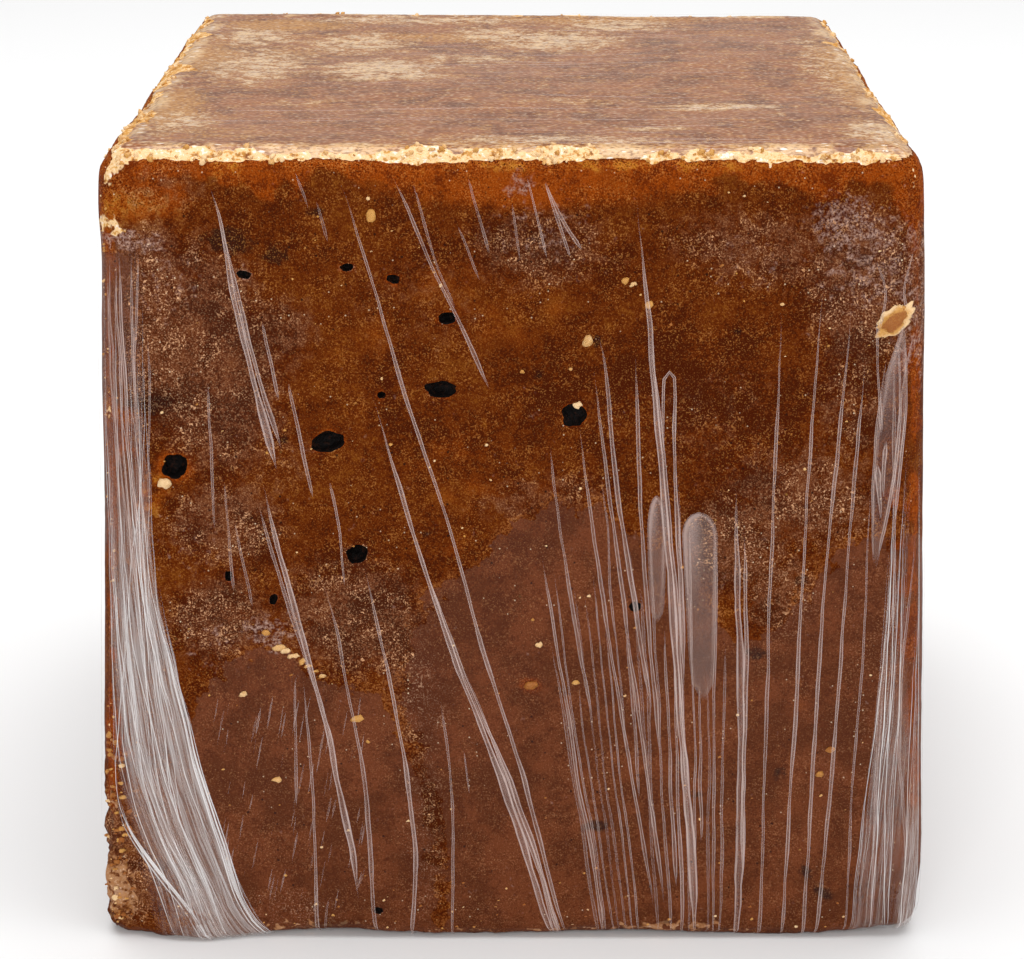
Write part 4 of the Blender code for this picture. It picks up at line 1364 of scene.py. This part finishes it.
def pocketMaterial(name):
    # a smooth pocket of air under the film: a faint grey veil with a painted highlight along its rim, a painted
    # sheen towards its top, and a thin dark outline
    material, tree, shader, place = newMaterial(name, Roughness=0.3, Specular_IOR_Level=0.5)
    across, along, light = fieldOf(tree, "across"), fieldOf(tree, "along"), fieldOf(tree, "light")
    inside = fieldOf(tree, "inside")
    outline = times(ramp(inside, 0.2, 0.08), 0.6)
    rim = times(times(ramp(inside, 0.12, 0.26), ramp(inside, 0.6, 0.3)),
                ramp(along, 0.9, 0.5, 0.25, 0.8))
    sheen = times(ramp(along, 0.55, 0.05), ramp(across, 0.7, 0.25))
    body = plus(light, plus(times(rim, 0.14), times(sheen, 0.12)))
    shown = plus(times(body, less(1.0, outline)), times(outline, 0.5))
    feed(shader.inputs["Alpha"], times(shown, ramp(along, 1.0, 0.93)))
    tone = blendColour(plus(rim, sheen), filmLook["pocket"], filmLook["crease"])
    feed(shader.inputs["Base Color"], blendColour(outline, tone, filmLook["shade"]))
    return material


def sheetMesh(settings):
    # a grid of faces between the two borders, which know how far across and along they lie
    wide, tall = sheetGrid["across"], sheetGrid["along"]
    places, across, along, spread, heights = [], [], [], [], []
    top, foot = settings["outer"][0][1], settings["outer"][-1][1]
    for row in range(tall + 1):
        up = top + (foot - top) * row / tall
        outer, inner = alongLine(settings["outer"], up), alongLine(settings["inner"], up)
        for column in range(wide + 1):
            share = column / wide
            spread.append(outer + (inner - outer) * share)
            heights.append(up)
            places.append(faceSpot(settings["face"], spread[-1], up) * mm)
            across.append(share)
            along.append(row / tall)
    faces = [(row * (wide + 1) + column, (row + 1) * (wide + 1) + column, (row + 1) * (wide + 1) + column + 1,
              row * (wide + 1) + column + 1) for row in range(tall) for column in range(wide)]
    mesh = bpy.data.meshes.new("sheetGrid")
    mesh.from_pydata(places, [], faces)
    writeField(mesh, "across", across)
    writeField(mesh, "along", along)
    fade = settings.get("fade", [(top, 1.0), (foot, 1.0)])
    writeField(mesh, "light", [settings["light"] * alongLine([(share, up) for up, share in fade], height)
                               for height in heights])
    outline = settings["outer"] + settings["inner"][::-1]
    writeField(mesh, "inside", insideBy(np.array(spread), np.array(heights), outline))
    return mesh


def sheetTree():
    # lays a grid on the film and raises fine folds in it that run along it
    tree, given, out = newGroup("filmSheet", "GeometryNodeTree", {
        "Grid": ("Geometry", None), "Film": ("Object", None), "Lift": ("Float", 0.04 * mm),
        "Folds": ("Float", 0.1 * mm), "Seed": ("Float", 0.0), "Material": ("Material", None)},
        {"Geometry": "Geometry"})
    film = objectGeometry(tree, given["Film"])
    place = ownPlace(tree)
    near, facing = nearestOn(tree, film, place), facingOf(tree, film, place)
    strip = join(tree, times(readField(tree, "across"), 22.0),
                 times(readField(tree, "along"), 3.0), given["Seed"])
    ridges = noiseAt(strip, 1.0, 2.0)
    raised = plus(given["Lift"], times(ridges, given["Folds"]))
    placed = vectorMaths("ADD", near, scaled(facing, raised))
    finishTree(tree, placedAt(tree, given["Grid"], placed), given["Material"], out)
    return tree


def sheetMaterial(name, dull, bright, streaky):
    # thin film over air: greyish, streaked along its length, clear in places
    material, tree, shader, place = newMaterial(name, Roughness=0.35, Specular_IOR_Level=0.5)
    across, along, light = fieldOf(tree, "across"), fieldOf(tree, "along"), fieldOf(tree, "light")
    strip = join(tree, times(across, 34.0), times(along, 6.0), light)
    streaks = noiseAt(strip, 1.0, 3.0, 0.7)
    body = plus(times(ramp(streaks, 0.36, 0.66), streaky), 1.0 - streaky)
    border = times(ramp(across, 0.0, 0.35), ramp(across, 1.0, 0.93))
    ends = times(ramp(along, 0.0, 0.5, 0.35, 1.0), ramp(along, 0.0, 0.03))
    feed(shader.inputs["Alpha"], times(times(body, light), times(border, ends)))
    tone = blendColour(ramp(streaks, 0.3, 0.7), dull, bright)
    tone = laidOver(tone, filmLook["warm"], ramp(along, 0.5, 0.3))
    feed(shader.inputs["Base Color"], tone)
    return material


# The stage: a pale floor, one large soft light overhead, one in front, one at the side, and the camera
stage = {
    "floorSize": 30.0, "floorLevel": -0.02, "floorColour": rgb(0.86, 0.86, 0.86),
    "worldColour": rgb(1.0, 1.0, 1.0), "worldPower": 0.42,
    "camera": (1.19, -289.765, 145.355), "pitch": 20.22, "yaw": 0.30, "lens": 86.1,
}
lights = {
    # place in metres, what it aims at, size, power
    "overhead": ((0.0, 0.15, 1.3), (0, 0, 0.05), 1.3, 17.0),
    "front": ((-0.25, -1.5, 0.75), (0, 0, 0.045), 1.0, 11.0),
    "side": ((1.2, -0.4, 0.5), (0, 0, 0.045), 0.7, 3.5),
}


def makeFloor():
    half = stage["floorSize"] / 2
    mesh = bpy.data.meshes.new("floor")
    low = stage["floorLevel"] * mm
    mesh.from_pydata([(-half, -half, low), (half, -half, low), (half, half, low), (-half, half, low)], [],
                     [(0, 1, 2, 3)])
    floor = newObject("floor", mesh)
    material, tree, shader, place = newMaterial("paleFloor", Roughness=0.6, Specular_IOR_Level=0.3)
    shader.inputs["Base Color"].default_value = stage["floorColour"]
    mesh.materials.append(material)


def makeLights():
    world = bpy.data.worlds.new("studio")
    world.use_nodes = True
    background = world.node_tree.nodes["Background"]
    background.inputs["Color"].default_value = stage["worldColour"]
    background.inputs["Strength"].default_value = stage["worldPower"]
    bpy.context.scene.world = world
    for name, (place, aim, size, power) in lights.items():
        light = bpy.data.lights.new(name, "AREA")
        light.shape = "SQUARE"
        light.size, light.energy = size, power
        lamp = newObject(name, light)
        lamp.location = place
        lamp.rotation_euler = (Vector(aim) - Vector(place)).to_track_quat("-Z", "Y").to_euler()


def makeCamera():
    lens = bpy.data.cameras.new("camera")
    lens.lens, lens.sensor_width, lens.sensor_fit = stage["lens"], 36.0, "HORIZONTAL"
    lens.clip_start = 0.01
    camera = newObject("camera", lens)
    camera.location = Vector(stage["camera"]) * mm
    camera.rotation_euler = (math.radians(90 - stage["pitch"]), 0, math.radians(stage["yaw"]))
    bpy.context.scene.camera = camera


def keep(piece, slot):
    # every piece belongs to the one solid; points that would stand outside its box are moved back onto it,
    # and the clear film casts no shadow and is left out of bounced and mirrored light
    piece.visible_shadow = piece.visible_diffuse = piece.visible_glossy = slot != "film"
    low, high = np.array(lowCorner), np.array(highCorner)
    places = np.clip(readPlaces(piece.data) * mm, low, high)
    piece.data.vertices.foreach_set("co", places.ravel())
    piece.data.update()
    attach(piece, "root")
    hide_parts("jaggery_block")
    print(piece.name + ":", len(piece.data.polygons), "faces")


makeFloor()
makeLights()
makeCamera()
bpy.context.scene.view_settings.view_transform = "Standard"
print("stage set")

shell = skinTree()
chance = random.Random(11)
food = makeSugar(shell)
crumb = crumbMaterial()
loose = makeCrumbs(food, crumb, chance)
keep(food, "jaggery")
keep(loose, "jaggery")
keep(makeFlake(crumb), "jaggery")

film = grow("filmSurface", shell, skinValues(wrap, None))
folding, laying = creaseTree(), sheetTree()
frontFolds = creaseMaterial("filmCrease", filmLook["crease"], 0.46, 0.22)
strandFolds = strandMaterial("filmStrand", filmLook["strand"])
frontLines = [(0, frontCreases + fanCreases(chance) + dashCreases(chance))]
keep(makeCreases("frontCreases", folding, film, frontLines, frontFolds), "film")
otherLines = [(face, plainCreases(chance)) for face in (1, 2, 3)]
otherLines += [(4, topCreases(chance)), (5, underCreases(chance))]
keep(makeCreases("otherCreases", folding, film, otherLines, frontFolds), "film")
strandLines = [(0, bundleStrands(settings, chance)) for settings in bundles.values()]
keep(makeCreases("bundleStrands", folding, film, strandLines, strandFolds, ribbon["strandLift"]), "film")
streakedSheet = sheetMaterial("filmStreaked", filmLook["air"], filmLook["veil"], 0.45)
smoothSheet = pocketMaterial("filmPocket")
for number, (name, settings) in enumerate(sheets.items()):
    values = {"Film": film, "Lift": sheetGrid["lift"] * mm, "Folds": settings["folds"] * mm,
              "Seed": float(number),
              "Material": smoothSheet if "Pocket" in name else streakedSheet}
    keep(grow(name + "Sheet", laying, values, sheetMesh(settings)), "film")
bpy.data.objects.remove(film)
